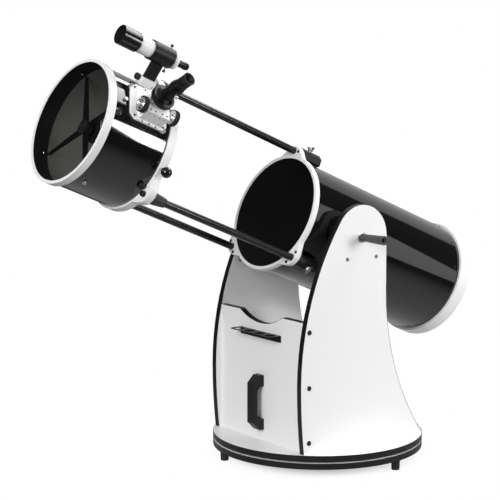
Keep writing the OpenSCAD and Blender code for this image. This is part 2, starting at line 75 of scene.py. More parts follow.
def finish(name, colour, worn, rough, grain, depth, patch=9.0, metal=0.0, lacquer=0.0,
           stretch=(1, 1, 1), rubs=0.35, edge=0.0, shine=0.32, turned=(0, 0, 0)):
    """A surface with soft patches of colour, rubbed spots and edges, uneven gloss and a fine grain."""
    material = bpy.data.materials.new(name)
    material.use_nodes = True
    tree = material.node_tree
    tree.nodes.clear()
    where = wire(tree, "ShaderNodeTexCoord").outputs["Object"]
    run = wire(tree, "ShaderNodeMapping", (), {"Vector": where, "Scale": stretch,
        "Rotation": turned}).outputs[0]
    cloud = wire(tree, "ShaderNodeTexNoise", (),
                 {"Vector": where, "Scale": patch, "Detail": 5.0, "Roughness": 0.62}).outputs[0]
    marks = wire(tree, "ShaderNodeTexNoise", (),
                 {"Vector": run, "Scale": patch * 7, "Detail": 8.0, "Roughness": 0.72}).outputs[0]
    soft = wire(tree, "ShaderNodeMapRange", (),
                {"Value": cloud, "From Min": 0.35, "From Max": 0.75, "To Max": rubs * 0.5}).outputs[0]
    spots = wire(tree, "ShaderNodeMapRange", (),
                 {"Value": marks, "From Min": 0.60, "From Max": 0.74, "To Max": rubs}).outputs[0]
    worn_share = wire(tree, "ShaderNodeMath", {"operation": "ADD", "use_clamp": True},
        {0: soft, 1: spots}).outputs[0]
    if edge:
        corner = wire(tree, "ShaderNodeNewGeometry").outputs["Pointiness"]
        rim = wire(tree, "ShaderNodeMapRange", (),
                   {"Value": corner, "From Min": 0.53, "From Max": 0.62, "To Max": edge}).outputs[0]
        broken = wire(tree, "ShaderNodeMath", {"operation": "MULTIPLY"}, {0: rim, 1: marks}).outputs[0]
        worn_share = wire(tree, "ShaderNodeMath", {"operation": "ADD", "use_clamp": True},
                          {0: worn_share, 1: broken}).outputs[0]
    tint = wire(tree, "ShaderNodeMix", {"data_type": "RGBA"}, {0: worn_share, 6: colour, 7: worn}).outputs[2]
    gloss = wire(tree, "ShaderNodeMapRange", (), {"Value": marks, "From Min": 0.3, "From Max": 0.7,
        "To Min": rough[0], "To Max": rough[1]}).outputs[0]
    fine = wire(tree, "ShaderNodeTexNoise", (),
                {"Vector": run, "Scale": grain, "Detail": 3.0, "Roughness": 0.55}).outputs[0]
    relief = wire(tree, "ShaderNodeBump", (), {"Height": fine, "Distance": depth, "Strength": 0.7}).outputs[0]
    shader = wire(tree, "ShaderNodeBsdfPrincipled", (),
                  {"Base Color": tint, "Roughness": gloss, "Normal": relief})
    shader.inputs["Metallic"].default_value = metal
    shader.inputs["Specular IOR Level"].default_value = shine
    shader.inputs["Coat Weight"].default_value = lacquer
    shader.inputs["Coat Roughness"].default_value = 0.04
    wire(tree, "ShaderNodeOutputMaterial", (), {"Surface": shader.outputs[0]})
    return material


def eased_line(points, ease, closed):
    """Rounds the corners of an outline of (radius, height, finish number) points."""
    line = []
    for i, (r, z, mark) in enumerate(points):
        here = Vector((r, z))
        before, after = points[i - 1], points[(i + 1) % len(points)]
        back, on = Vector(before[:2]) - here, Vector(after[:2]) - here
        if (not closed and i in (0, len(points) - 1)) or back.angle(on) > 2.97:
            line.append((r, z, mark))
            continue
        size = min(ease, 0.4 * back.length, 0.4 * on.length)
        near, far = here + back.normalized() * size, here + on.normalized() * size
        middle = near * 0.25 + here * 0.5 + far * 0.25
        line += [(near.x, near.y, before[2]), (middle.x, middle.y, mark), (far.x, far.y, mark)]
    return line


def turn(b, place, points, steps=64, ease=0.4, closed=True):
    """Turns an outline, in millimetres, about the place's Z axis; an open one starts and ends on the axis."""
    line = eased_line([(*p, 0)[:3] for p in points], ease, closed)
    rings = []
    for r, z, mark in line:
        if r < 1e-4:
            rings.append([b.verts.new(place @ Vector((0, 0, z * MM)))])
            continue
        rings.append([b.verts.new(place @ Vector((r * MM * math.cos(k * math.tau / steps),
                                                  r * MM * math.sin(k * math.tau / steps), z * MM)))
                      for k in range(steps)])
    for i in range(len(rings) if closed else len(rings) - 1):
        p, q = rings[i], rings[(i + 1) % len(rings)]
        for k in range(steps):
            m = (k + 1) % steps
            corners = ([p[0]] if len(p) == 1 else [p[k], p[m]]) + ([q[0]] if len(q) == 1 else [q[m], q[k]])
            if len(corners) > 2:
                b.faces.new(corners).material_index = line[i][2]


def make(b, name, finishes, body, slot, *nodes, sharp=50):
    """Turns what was built into a finished piece with clean shading, on its body, in place of CAD nodes."""
    bmesh.ops.recalc_face_normals(b, faces=b.faces)
    mesh = bpy.data.meshes.new(name)
    b.to_mesh(mesh)
    b.free()
    mesh.polygons.foreach_set("use_smooth", [True] * len(mesh.polygons))
    mesh.set_sharp_from_angle(angle=math.radians(sharp))
    for each in finishes:
        mesh.materials.append(each)
    piece = bpy.data.objects.new(name, mesh)
    bpy.context.scene.collection.objects.link(piece)
    piece.modifiers.new("flat faces stay flat", "WEIGHTED_NORMAL").keep_sharp = True
    done = bpy.data.meshes.new_from_object(piece.evaluated_get(bpy.context.evaluated_depsgraph_get()))
    piece.modifiers.clear()
    piece.data = done
    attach(piece, body)
    if nodes:
        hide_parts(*nodes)
    return piece


def board(name, body, hole_r):
    """A round board on its body, bored for the pivot, with its rim edging."""
    low, high = (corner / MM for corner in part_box(name))
    rim = high.x
    b = bmesh.new()
    turn(b, upright, [(hole_r, low.z, 0), (rim - edging_t, low.z, 1), (rim, low.z, 1), (rim, high.z, 1),
                      (rim - edging_t, high.z, 0), (hole_r, high.z, 0)], 256, ease_board)
    return make(b, name + "_faced", [melamine, edging], body, "white_melamine", name)


melamine = finish("white melamine", white_board, grey_smudge, (0.34, 0.46), 1500, 0.00002, 5.0, rubs=0.10)
edging = finish("black plastic edging", black_strip, rubbed_strip, (0.34, 0.52), 900, 0.00003, 14.0,
                rubs=0.25, edge=0.5)
bolt_r = 5.0
bush_r = 12.0
board("ground_board", "ground", bolt_r)
board("rocker_board", "rocker", bush_r)

# ---- Feet ----
# Three moulded rubber feet, each held by a screw up through its hollow middle.
# Two grooves run round each one, and a flange spreads the load under the board.
rubber_black = (0.014, 0.014, 0.014, 1)
rubber_dusty = (0.07, 0.068, 0.065, 1)
foot_count = 3
rubber = finish("foot rubber", rubber_black, rubber_dusty, (0.62, 0.82), 2200, 0.00005, 20.0, rubs=0.4,
    shine=0.3)
feet_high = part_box("feet")[1].z / MM
far = max((v.co.xy.length for v in frame["nodes"]["feet"].data.vertices)) / MM
flange_r = 16.5
foot_angle = 12.0
b = bmesh.new()
for k in range(foot_count):
    spot = Matrix.Rotation(math.radians(foot_angle + 120 * k), 4, "Z") @ Matrix.Translation(
        ((far - flange_r) * MM, 0, 0))
    turn(b, spot, [(0, 8), (5, 8), (5, 0), (12.2, 0), (13.3, 9), (12.5, 10), (13.4, 11), (13.4, 17),
        (12.6, 18), (13.5, 19), (13.5, feet_high - 5), (flange_r, feet_high - 5), (flange_r, feet_high),
        (0, feet_high)], 48, 0.9, closed=False)
make(b, "rubber_feet", [rubber], "ground", "rubber_black", "feet")

# ---- Azimuth pivot and glides ----
# A zinc-plated bolt, washer and lock nut clamp the boards through a nylon bush.
# Three slippery white pads carry the rocker board on the ground board.
zinc_grey = (0.56, 0.57, 0.58, 1)
zinc_dull = (0.34, 0.34, 0.33, 1)
nylon_white = (0.78, 0.78, 0.75, 1)
nylon_dirty = (0.55, 0.54, 0.50, 1)


def cad_shape(b, node, ease, sharp=32, segments=2):
    """Adds a copy of a CAD node with its facets merged and its sharp edges eased, in millimetres."""
    c = bmesh.new()
    c.from_mesh(frame["nodes"][node].data)
    bmesh.ops.remove_doubles(c, verts=c.verts, dist=4e-6)
    bmesh.ops.dissolve_limit(c, angle_limit=math.radians(0.4), verts=c.verts, edges=c.edges)
    if ease:
        hard = [e for e in c.edges if len(e.link_faces) == 2 and e.calc_face_angle(0) > math.radians(sharp)]
        bmesh.ops.bevel(c, geom=hard, offset=ease * MM, offset_type="OFFSET", segments=segments, profile=0.6,
                        affect="EDGES", clamp_overlap=True)
    for face in c.faces:
        face.material_index = 0
    mesh = bpy.data.meshes.new(node)
    c.to_mesh(mesh)
    c.free()
    b.from_mesh(mesh)
    bpy.data.meshes.remove(mesh)


def eased(node, ease, material, body, slot, **more):
    """A CAD node's own shape as a finished piece with eased edges."""
    b = bmesh.new()
    cad_shape(b, node, ease)
    return make(b, node + "_eased", [material], body, slot, node, **more)


def dress(node, material):
    """Gives a CAD node that keeps its shape its finish."""
    for each in frame["nodes"][node].material_slots:
        each.material = material


zinc = finish("zinc plate", zinc_grey, zinc_dull, (0.22, 0.42), 1400, 0.00002, 60.0, metal=1.0, rubs=0.5)
nylon = finish("white nylon", nylon_white, nylon_dirty, (0.40, 0.55), 1200, 0.00002, 40.0, rubs=0.4)
eased("azimuth_bolt", 0.6, zinc, "ground", "bright_steel")
eased("glide_pads", 0.8, nylon, "ground", "white_plastic")
dress("azimuth_bushing", nylon)

# ---- Rocker box panels ----
# Two side panels and a front panel of the same white board, screwed together at the front corners.
# Black edging follows every curved edge, a little rounded where it was trimmed.
ease_strip = 0.5
for side in ("side_panel_right", "side_panel_left", "front_panel"):
    eased(side, 0.15, melamine, "rocker", "white_melamine")
eased("panel_edges", ease_strip, edging, "rocker", "black_edging")

# ---- Box screws ----
# Hex socket screws with black heads hold the side panels to the front panel.
# Smaller ones hold the bearing rollers, the handle and the rack.
black_head = (0.016, 0.016, 0.017, 1)
black_head_worn = (0.12, 0.12, 0.12, 1)
cap_screw = {"Head Radius": 8.0, "Head Height": 2.5, "Key Radius": 3.1}
roller_screw = {"Head Radius": 6.0, "Head Height": 2.2, "Key Radius": 2.8}
rack_screw = {"Head Radius": 4.5, "Head Height": 2.0, "Key Radius": 2.0}
handle_screw = {"Head Radius": 6.0, "Head Height": 3.0, "Key Radius": 2.6}


def sizes_in(tree, sizes):
    """Adds the tree's inputs: the places, then each named size in millimetres or count, then the finish."""
    tree.interface.new_socket("Places", in_out="INPUT", socket_type="NodeSocketGeometry")
    for name in sizes:
        kind = "NodeSocketInt" if name == "Count" else "NodeSocketFloat"
        tree.interface.new_socket(name, in_out="INPUT", socket_type=kind)
    tree.interface.new_socket("Finish", in_out="INPUT", socket_type="NodeSocketMaterial")
    tree.interface.new_socket("Made", in_out="OUTPUT", socket_type="NodeSocketGeometry")
    return wire(tree, "NodeGroupInput").outputs


def stand_at_places(tree, given, made, smooth):
    """Stands one copy of what was made at every place, along its axis, as plain faces in one finish."""
    axis = wire(tree, "GeometryNodeInputNamedAttribute", {"data_type": "FLOAT_VECTOR"},
        {"Name": "axis"}).outputs[0]
    facing = wire(tree, "FunctionNodeAlignRotationToVector", {"axis": "Z"}, {"Vector": axis}).outputs[0]
    copies = wire(tree, "GeometryNodeInstanceOnPoints", (),
                  {"Points": given["Places"], "Instance": made, "Rotation": facing}).outputs[0]
    plain = wire(tree, "GeometryNodeRealizeInstances", (), {"Geometry": copies}).outputs[0]
    shaded = wire(tree, "GeometryNodeSetShadeSmooth", (), {"Geometry": plain,
        "Shade Smooth": smooth}).outputs[0]
    dressed = wire(tree, "GeometryNodeSetMaterial", (), {"Geometry": shaded,
        "Material": given["Finish"]}).outputs[0]
    wire(tree, "NodeGroupOutput", (), {"Made": dressed})


def times(tree, value, factor):
    """A socket's value multiplied by a factor."""
    return wire(tree, "ShaderNodeMath", {"operation": "MULTIPLY"}, {0: value, 1: factor}).outputs[0]


def raised(tree, shape, height):
    """Lifts a shape along Z."""
    up = wire(tree, "ShaderNodeCombineXYZ", (), {"Z": height}).outputs[0]
    return wire(tree, "GeometryNodeTransform", (), {"Geometry": shape, "Translation": up}).outputs[0]


screws = bpy.data.node_groups.new("hex socket screw heads", "GeometryNodeTree")
given = sizes_in(screws, ("Head Radius", "Head Height", "Key Radius"))
skirt = wire(screws, "GeometryNodeMeshCone", (), {
    "Vertices": 24, "Radius Bottom": given["Head Radius"],
    "Radius Top": times(screws, given["Head Radius"], 0.95),
    "Depth": times(screws, given["Head Height"], 0.6)}).outputs["Mesh"]
crown = wire(screws, "GeometryNodeMeshCone", (), {
    "Vertices": 24, "Radius Bottom": times(screws, given["Head Radius"], 0.95),
    "Radius Top": times(screws, given["Head Radius"], 0.78),
    "Depth": times(screws, given["Head Height"], 0.4)}).outputs["Mesh"]
crown = raised(screws, crown, times(screws, given["Head Height"], 0.6))
key = wire(screws, "GeometryNodeMeshCylinder", (), {
    "Vertices": 6, "Radius": given["Key Radius"], "Depth": given["Head Height"]}).outputs["Mesh"]
key = raised(screws, key, times(screws, given["Head Height"], 0.8))
head = wire(screws, "GeometryNodeMeshBoolean", {"operation": "UNION", "solver": "EXACT"}, {"Mesh 2": skirt})
screws.links.new(crown, head.inputs["Mesh 2"])
head = wire(screws, "GeometryNodeMeshBoolean", {"operation": "DIFFERENCE", "solver": "EXACT"},
            {"Mesh 1": head.outputs["Mesh"], "Mesh 2": key}).outputs["Mesh"]
stand_at_places(screws, given, head, False)


def grow(name, tree, sizes, material, places, body, slot, *nodes):
    """Runs a tree at (point, axis) places and keeps its result as a plain piece."""
    seeds = bpy.data.meshes.new(name)
    seeds.from_pydata([p for p, _ in places], [], [])
    along = seeds.attributes.new("axis", "FLOAT_VECTOR", "POINT")
    along.data.foreach_set("vector", [x for _, a in places for x in a])
    piece = bpy.data.objects.new(name, seeds)
    bpy.context.scene.collection.objects.link(piece)
    growth = piece.modifiers.new(tree.name, "NODES")
    growth.node_group = tree
    for socket in tree.interface.items_tree:
        if socket.name in sizes:
            value = sizes[socket.name]
            in_units = value if socket.name in ("Count", "Turns", "Lean") else value * MM
            growth[socket.identifier] = in_units
        elif socket.name == "Finish":
            growth[socket.identifier] = material
    done = bpy.data.meshes.new_from_object(piece.evaluated_get(bpy.context.evaluated_depsgraph_get()))
    piece.modifiers.clear()
    piece.data = done
    done.name = name
    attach(piece, body)
    if nodes:
        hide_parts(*nodes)
    return piece


black_steel = finish("blackened steel", black_head, black_head_worn, (0.24, 0.42), 1600, 0.00002, 70.0,
                     rubs=0.3, edge=0.6, metal=0.3)
dull_steel = finish("dull screw steel", (0.20, 0.20, 0.205, 1), (0.09, 0.09, 0.09, 1), (0.34, 0.5), 1400,
    0.00002, 60.0, rubs=0.5, edge=0.5, metal=0.6)


def joint(name):
    """A joint of the frame: where it is and which way it moves."""
    return next(j for j in frame["joints"] if j["name"] == name)


panel_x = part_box("side_panel_right")[1].x
front_low, front_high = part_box("front_panel")
front_y = (front_low.y + front_high.y) / 2
hinge = Vector(joint("altitude_tilt")["pos_m"])
corner_heights = (0.111, 0.281, 0.452)
roller_y, roller_drop = 0.0578, 0.0637
handle_heights = (0.128, 0.271)
rack_screw_x = (-0.092, 0, 0.092)
rack_t, rack_screw_rise = 0.002, 0.010
grow("corner_screws", screws, cap_screw, black_steel,
     [((s * panel_x, front_y, z), (s, 0, 0)) for s in (-1, 1) for z in corner_heights],
     "rocker", "black_plastic", "panel_screws")
grow("roller_screws", screws, roller_screw, dull_steel,
     [((s * panel_x, hinge.y + t * roller_y, hinge.z - roller_drop), (s, 0, 0))
      for s in (-1, 1) for t in (-1, 1)],
     "rocker", "bright_steel", "panel_screws")
grow("handle_screws", screws, handle_screw, zinc,
     [((0, front_high.y, z), (0, 1, 0)) for z in handle_heights],
     "rocker", "bright_steel", "fittings_screws")
rack_low, rack_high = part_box("eyepiece_rack")
lip_y = rack_high.y - rack_t
grow("rack_screws", screws, rack_screw, black_steel,
     [((x, lip_y, rack_low.z + rack_screw_rise), (0, -1, 0)) for x in rack_screw_x],
     "rocker", "bright_steel", "fittings_screws")

# ---- Carrying handle and eyepiece rack ----
# A cast grip with chamfered shoulders, powder coated black, stands upright on the front panel.
# The rack above it is a folded steel strip with four holes for eyepieces.
cast_black = (0.004, 0.004, 0.0045, 1)
cast_rubbed = (0.035, 0.035, 0.036, 1)
black_coat = finish("black powder coat", cast_black, cast_rubbed, (0.36, 0.55), 1300, 0.00005, 30.0,
                    rubs=0.22, edge=0.5)
eased("carry_handle", 2.4, black_coat, "rocker", "black_plastic")
eased("eyepiece_rack", 0.5, black_coat, "rocker", "black_plastic")

# ---- Altitude bearings ----
# Each black plastic hub on the tube rests on two white nylon rollers inside a side panel.
# Outside, a ribbed grip screws down on a bright washer to set the friction.
hub_plastic = finish("black hub plastic", (0.013, 0.013, 0.014, 1), rubbed_strip, (0.30, 0.48), 1100,
    0.00004, 22.0, rubs=0.3, edge=0.4)
grip_grey = (0.050, 0.051, 0.049, 1)
grip_worn = (0.13, 0.13, 0.125, 1)
grip_rubber = finish("grip rubber", grip_grey, grip_worn, (0.42, 0.62), 1500, 0.00004, 40.0, rubs=0.4,
    edge=0.6, shine=0.4)
eased("altitude_hubs", 1.2, hub_plastic, "lower_assembly", "black_plastic")
eased("altitude_posts", 1.0, nylon, "rocker", "white_plastic")
grip_ribs = {"Count": 22, "Radius": 11.6, "Length": 80.0, "Rib": 1.1, "Lean": math.radians(1.95)}

ribs = bpy.data.node_groups.new("ribs round a shaft", "GeometryNodeTree")
given = sizes_in(ribs, ("Count", "Radius", "Length", "Rib", "Lean"))
circle = wire(ribs, "GeometryNodeMeshCircle", (), {"Vertices": given["Count"],
    "Radius": given["Radius"]}).outputs[0]
rib = wire(ribs, "GeometryNodeMeshCylinder", (), {"Vertices": 8, "Radius": given["Rib"],
                                                 "Depth": given["Length"]}).outputs["Mesh"]
step = wire(ribs, "ShaderNodeMath", {"operation": "DIVIDE"}, {0: math.tau, 1: given["Count"]}).outputs[0]
order = wire(ribs, "GeometryNodeInputIndex").outputs[0]
bearing = wire(ribs, "ShaderNodeMath", {"operation": "MULTIPLY"}, {0: order, 1: step}).outputs[0]
facing = wire(ribs, "ShaderNodeCombineXYZ", (), {"Y": given["Lean"], "Z": bearing}).outputs[0]
crown = wire(ribs, "GeometryNodeInstanceOnPoints", (),
             {"Points": circle, "Instance": rib, "Rotation": facing}).outputs[0]
crown = wire(ribs, "GeometryNodeRealizeInstances", (), {"Geometry": crown}).outputs[0]
stand_at_places(ribs, given, crown, True)

hub_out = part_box("tension_handle_right")[0].x
grip_middle = Vector((0, 0, 0.057))
for side, name, body in ((1, "tension_handle_right", "right_handle"),
                         (-1, "tension_handle_left", "left_handle")):
    root = Vector((side * hub_out, hinge.y, hinge.z))
    spot = Matrix.Translation(root) @ Matrix.Rotation(side * math.pi / 2, 4, "Y")
    b = bmesh.new()
    turn(b, spot, [(6.2, 2, 0), (12.5, 2, 0), (11.6, 14, 0), (10.6, 14.5, 0), (10.9, 20, 0), (13.4, 97, 0),
                   (14.5, 99, 0), (14.5, 102, 0), (10, 102, 0), (10, 98, 0), (6.2, 97, 0)], 64, 0.8)
    make(b, name + "_grip", [grip_rubber], body, "black_plastic", name)
    b = bmesh.new()
    turn(b, spot, [(6.2, 0, 0), (17, 0, 0), (17, 2, 0), (13, 2.6, 0), (6.2, 2.6, 0)], 64, 0.5)
    make(b, name + "_washer", [zinc], body, "black_plastic", name)
    grow(name + "_ribs", ribs, grip_ribs, grip_rubber, [(spot @ grip_middle, (side, 0, 0))], body,
         "black_plastic", name)

# ---- Lower tube ----
# A rolled steel tube, baked gloss black outside and flat black inside.
# Twelve small black screws fix it to the casting at its lower end.
gloss_black = (0.0045, 0.0045, 0.005, 1)
gloss_dust = (0.020, 0.020, 0.021, 1)
flat_black = (0.013, 0.013, 0.013, 1)
flat_grey = (0.024, 0.024, 0.0235, 1)
tube_screw = {"Head Radius": 3.4, "Head Height": 1.6, "Key Radius": 1.5}
gloss_paint = finish("gloss black enamel", gloss_black, gloss_dust, (0.05, 0.09), 420, 0.000008, 3.5,
    rubs=0.12, lacquer=0.6, shine=0.5)
flat_paint = finish("flat black inside", flat_black, flat_grey, (0.75, 0.9), 900, 0.00006, 6.0, rubs=0.5,
    shine=0.25)
sky = -Vector(joint("truss_collapse")["axis"]).normalized()
across = Vector((1, 0, 0))
tube_frame = Matrix.Translation(hinge) @ Matrix((across, sky.cross(across), sky)).transposed().to_4x4()


def on_tube(around=0.0, along=0.0, out=0.0):
    """A place on the tube: X points outwards at that angle, Z points at the sky; distances in millimetres."""
    return (tube_frame @ Matrix.Rotation(math.radians(around), 4, "Z")
            @ Matrix.Translation((out * MM, 0, along * MM)))


def facing_out(place):
    """The same place with Z pointing outwards."""
    return place @ Matrix.Rotation(math.pi / 2, 4, "Y")


def at_place(place):
    """A place as the point and axis that a tree takes."""
    return place.translation, place.to_3x3() @ Vector((0, 0, 1))


def span(node, place):
    """A CAD node's lowest and highest corners seen from a place, in millimetres."""
    back = place.inverted()
    seen = [back @ v.co / MM for v in frame["nodes"][node].data.vertices]
    return Vector(map(min, *seen)), Vector(map(max, *seen))


tube_low, tube_high = span("lower_tube", on_tube())
tube_wall = 1.5
tube_r, bore_r = tube_high.x, tube_high.x - tube_wall
tube_screw_count, tube_screw_rise = 12, 33
b = bmesh.new()
turn(b, on_tube(), [(bore_r, tube_low.z, 0), (tube_r, tube_low.z, 0), (tube_r, tube_high.z, 0),
    (bore_r, tube_high.z, 1)], 192, 0.2)
make(b, "lower_tube_rolled", [gloss_paint, flat_paint], "lower_assembly", "gloss_black_steel", "lower_tube")
grow("lower_tube_screws", screws, tube_screw, black_steel,
     [at_place(facing_out(on_tube(15 + 30 * k, tube_low.z + tube_screw_rise, tube_r)))
      for k in range(tube_screw_count)],
     "lower_assembly", "black_plastic")

# ---- Tube end rings ----
# Aluminium castings, faced on a lathe and powder coated white, with a lobe for each truss rod.
# Black socket screws beside each rod clamp the lobe to the block behind it.
white_coat_colour = (0.88, 0.885, 0.88, 1)
white_coat_grey = (0.62, 0.62, 0.61, 1)
white_coat = finish("white powder coat", white_coat_colour, white_coat_grey, (0.30, 0.44), 1500, 0.00004,
    12.0, rubs=0.12, edge=0.15)
rod_angles = (90, -40.6, 220.6)
rod_names = ("top", "right", "left")
rod_out = 202.0
lobe_screw_y = 0.0227
lobe_screw = {"Head Radius": 5.0, "Head Height": 2.5, "Key Radius": 2.4}
eased("lower_front_ring", 1.3, white_coat, "lower_assembly", "white_casting")
front = span("lower_front_ring", on_tube())[1].z
grow("lobe_screws", screws, lobe_screw, black_steel,
     [at_place(on_tube(a, front, rod_out - 1) @ Matrix.Translation((0, k * lobe_screw_y, 0)))
      for a in rod_angles for k in (-1, 1)],
     "lower_assembly", "black_plastic", "lower_ring_screws")

# ---- Rod clamps and wing screws ----
# A cast black block behind each lobe guides its rod; a plated wing screw pinches the rod in it.
# The wings are pressed out of the head, so their corners are round.
wing = [(226, -4.5), (229.5, -8), (230.5, -14), (233, -17), (236, -14.5), (236, -7), (234.5, -2.5),
    (234.5, 2.5), (236, 7), (236, 14.5), (233, 17), (230.5, 14), (229.5, 8), (226, 4.5)]
eased("rod_clamps", 1.6, black_coat, "lower_assembly", "black_plastic")


def prism(b, place, outline, low, high, ease, mark=0):
    """Adds a flat outline in the place's XY plane, raised from low to high, with every edge eased."""
    c = bmesh.new()
    base = [c.verts.new(place @ Vector((x * MM, y * MM, low * MM))) for x, y in outline]
    top = [c.verts.new(place @ Vector((x * MM, y * MM, high * MM))) for x, y in outline]
    c.faces.new(base[::-1])
    c.faces.new(top)
    for k in range(len(outline)):
        m = (k + 1) % len(outline)
        c.faces.new((base[k], base[m], top[m], top[k]))
    hard = [e for e in c.edges if e.calc_face_angle(0) > 0.4]
    bmesh.ops.bevel(c, geom=hard, offset=ease * MM, offset_type="OFFSET", segments=2, profile=0.6,
        affect="EDGES", clamp_overlap=True)
    for face in c.faces:
        face.material_index = mark
    mesh = bpy.data.meshes.new("prism")
    c.to_mesh(mesh)
    c.free()
    b.from_mesh(mesh)
    bpy.data.meshes.remove(mesh)


for name, angle in zip(rod_names, rod_angles):
    node = "rod_lock_" + name
    mid = span(node, on_tube(angle))
    lock = on_tube(angle, (mid[0].z + mid[1].z) / 2)
    b = bmesh.new()
    turn(b, facing_out(lock), [(0, 213.4, 0), (3.6, 213.4, 0), (4, 214, 0), (4, 222.5, 0), (7.6, 224, 0),
        (9, 226, 0), (8.2, 231, 0), (6.2, 234, 0), (0, 234.4, 0)], 40, 0.6, closed=False)
    prism(b, lock, wing, -2, 2, 1.1)
    make(b, node + "_wings", [zinc], "lock_" + name, "bright_steel", node)

# ---- Rear casting, mirror cell and main mirror ----
# A white casting closes the lower end; the black cell in it hangs on three springs and three screws.
# The mirror is a thick glass disc, ground dull behind and aluminised in front.
glass_edge = (0.42, 0.52, 0.48, 1)
glass_chalk = (0.55, 0.60, 0.57, 1)
mirror_silver = (0.90, 0.91, 0.92, 1)
mirror_dust = (0.80, 0.80, 0.79, 1)
spring_wire = {"Turns": 6.5, "Coil": 5.9, "Height": 29.0, "Wire": 1.1}
knob_ribs = {"Count": 30, "Radius": 10.6, "Length": 12.5, "Rib": 0.45, "Lean": 0.0}
cell_places = (30, 150, 270)
cell_out = 120.0
ground_glass = finish("ground glass", glass_edge, glass_chalk, (0.35, 0.6), 1800, 0.00003, 12.0, rubs=0.5)
mirror_coat = finish("mirror coating", mirror_silver, mirror_dust, (0.015, 0.06), 600, 0.000001, 9.0,
    metal=1.0, rubs=0.12)
eased("rear_casting", 1.3, white_coat, "lower_assembly", "white_casting")
eased("mirror_cell", 1.0, black_coat, "lower_assembly", "black_plastic")
glass_low, glass_high = span("primary_mirror", on_tube())
mirror_r = glass_high.x
glass_t, dish = 29, 6000
deep = [(mirror_r * k / 12, glass_low.z + glass_t + (mirror_r * k / 12) ** 2 / dish, 1)
        for k in range(12, -1, -1)]
b = bmesh.new()
turn(b, on_tube(), [(0, glass_low.z, 0), (mirror_r - 1.5, glass_low.z, 0), (mirror_r, glass_low.z + 1.5, 0),
                    (mirror_r, deep[0][1] - 1, 0), (mirror_r - 0.6, deep[0][1] - 0.3, 1)] + deep[1:],
     160, 0.3, closed=False)
make(b, "main_mirror", [ground_glass, mirror_coat], "lower_assembly", "mirror_coating", "primary_mirror")

coil = bpy.data.node_groups.new("compression spring", "GeometryNodeTree")
given = sizes_in(coil, ("Turns", "Coil", "Height", "Wire"))
turns = wire(coil, "GeometryNodeCurveSpiral", (), {
    "Resolution": 24, "Rotations": given["Turns"], "Start Radius": given["Coil"], "End Radius": given["Coil"],
    "Height": given["Height"]}).outputs[0]
section = wire(coil, "GeometryNodeCurvePrimitiveCircle", {"mode": "RADIUS"},
               {"Resolution": 8, "Radius": given["Wire"]}).outputs[0]
wound = wire(coil, "GeometryNodeCurveToMesh", (), {"Curve": turns, "Profile Curve": section,
    "Fill Caps": True}).outputs[0]
stand_at_places(coil, given, wound, True)
low = span("collimation_springs", on_tube())[0].z + 0.5
grow("cell_springs", coil, spring_wire, zinc, [at_place(on_tube(a, low, cell_out)) for a in cell_places],
     "lower_assembly", "bright_steel", "collimation_springs")
for letter, angle in zip("abc", cell_places):
    node = "collimation_knob_" + letter
    low = span(node, on_tube())[0].z
    b = bmesh.new()
    turn(b, on_tube(angle, low, cell_out),
         [(0, 1.6, 0), (6.5, 1.6, 0), (7.5, 0, 0), (10.4, 0, 0), (10.6, 15, 0), (7, 16.7, 0),
          (3, 16.7, 0), (3, 61, 0), (0, 61, 0)], 40, 0.7, closed=False)
    make(b, node + "_turned", [hub_plastic], "collimator_" + letter, "black_plastic", node)
    grow(node + "_ribs", ribs, knob_ribs, hub_plastic, [at_place(on_tube(angle, low + 7.6, cell_out))],
         "collimator_" + letter, "black_plastic", node)

# ---- Truss rods and collars ----
# Three steel tubes, blackened and waxed, slide through the lower blocks to collapse the tube.
# A tapered collar locks each one under the upper ring.
rod_black = (0.007, 0.007, 0.0075, 1)
rod_streak = (0.045, 0.045, 0.046, 1)
collar_grey = (0.030, 0.030, 0.030, 1)
collar_worn = (0.10, 0.10, 0.10, 1)
rod_finish = finish("blackened rod", rod_black, rod_streak, (0.17, 0.30), 900, 0.00001, 30.0, rubs=0.22,
    lacquer=0.2)
collar_finish = finish("dark collar", collar_grey, collar_worn, (0.34, 0.5), 1400, 0.00004, 40.0, rubs=0.3,
    edge=0.5)
rod_low, rod_high = span("truss_rods", on_tube(rod_angles[0]))
collar_low, collar_high = span("rod_collars", on_tube(rod_angles[0]))
rod_r = rod_high.x - rod_out
b = bmesh.new()
c = bmesh.new()
for angle in rod_angles:
    place = on_tube(angle, 0, rod_out)
    turn(b, place, [(rod_r - 2, rod_low.z, 0), (rod_r, rod_low.z, 0), (rod_r, rod_high.z, 0),
        (rod_r - 2, rod_high.z, 0)], 48, 0.8)
    turn(c, place, [(rod_r + 0.02, collar_low.z, 0), (rod_r + 3, collar_low.z, 0),
        (rod_r + 8, collar_high.z - 8, 0), (rod_r + 8, collar_high.z, 0), (rod_r + 0.02, collar_high.z, 0)],
        48, 1.6)
make(b, "truss_tubes", [rod_finish], "upper_assembly", "black_anodised", "truss_rods")
make(c, "truss_collars", [collar_finish], "upper_assembly", "black_plastic", "rod_collars")

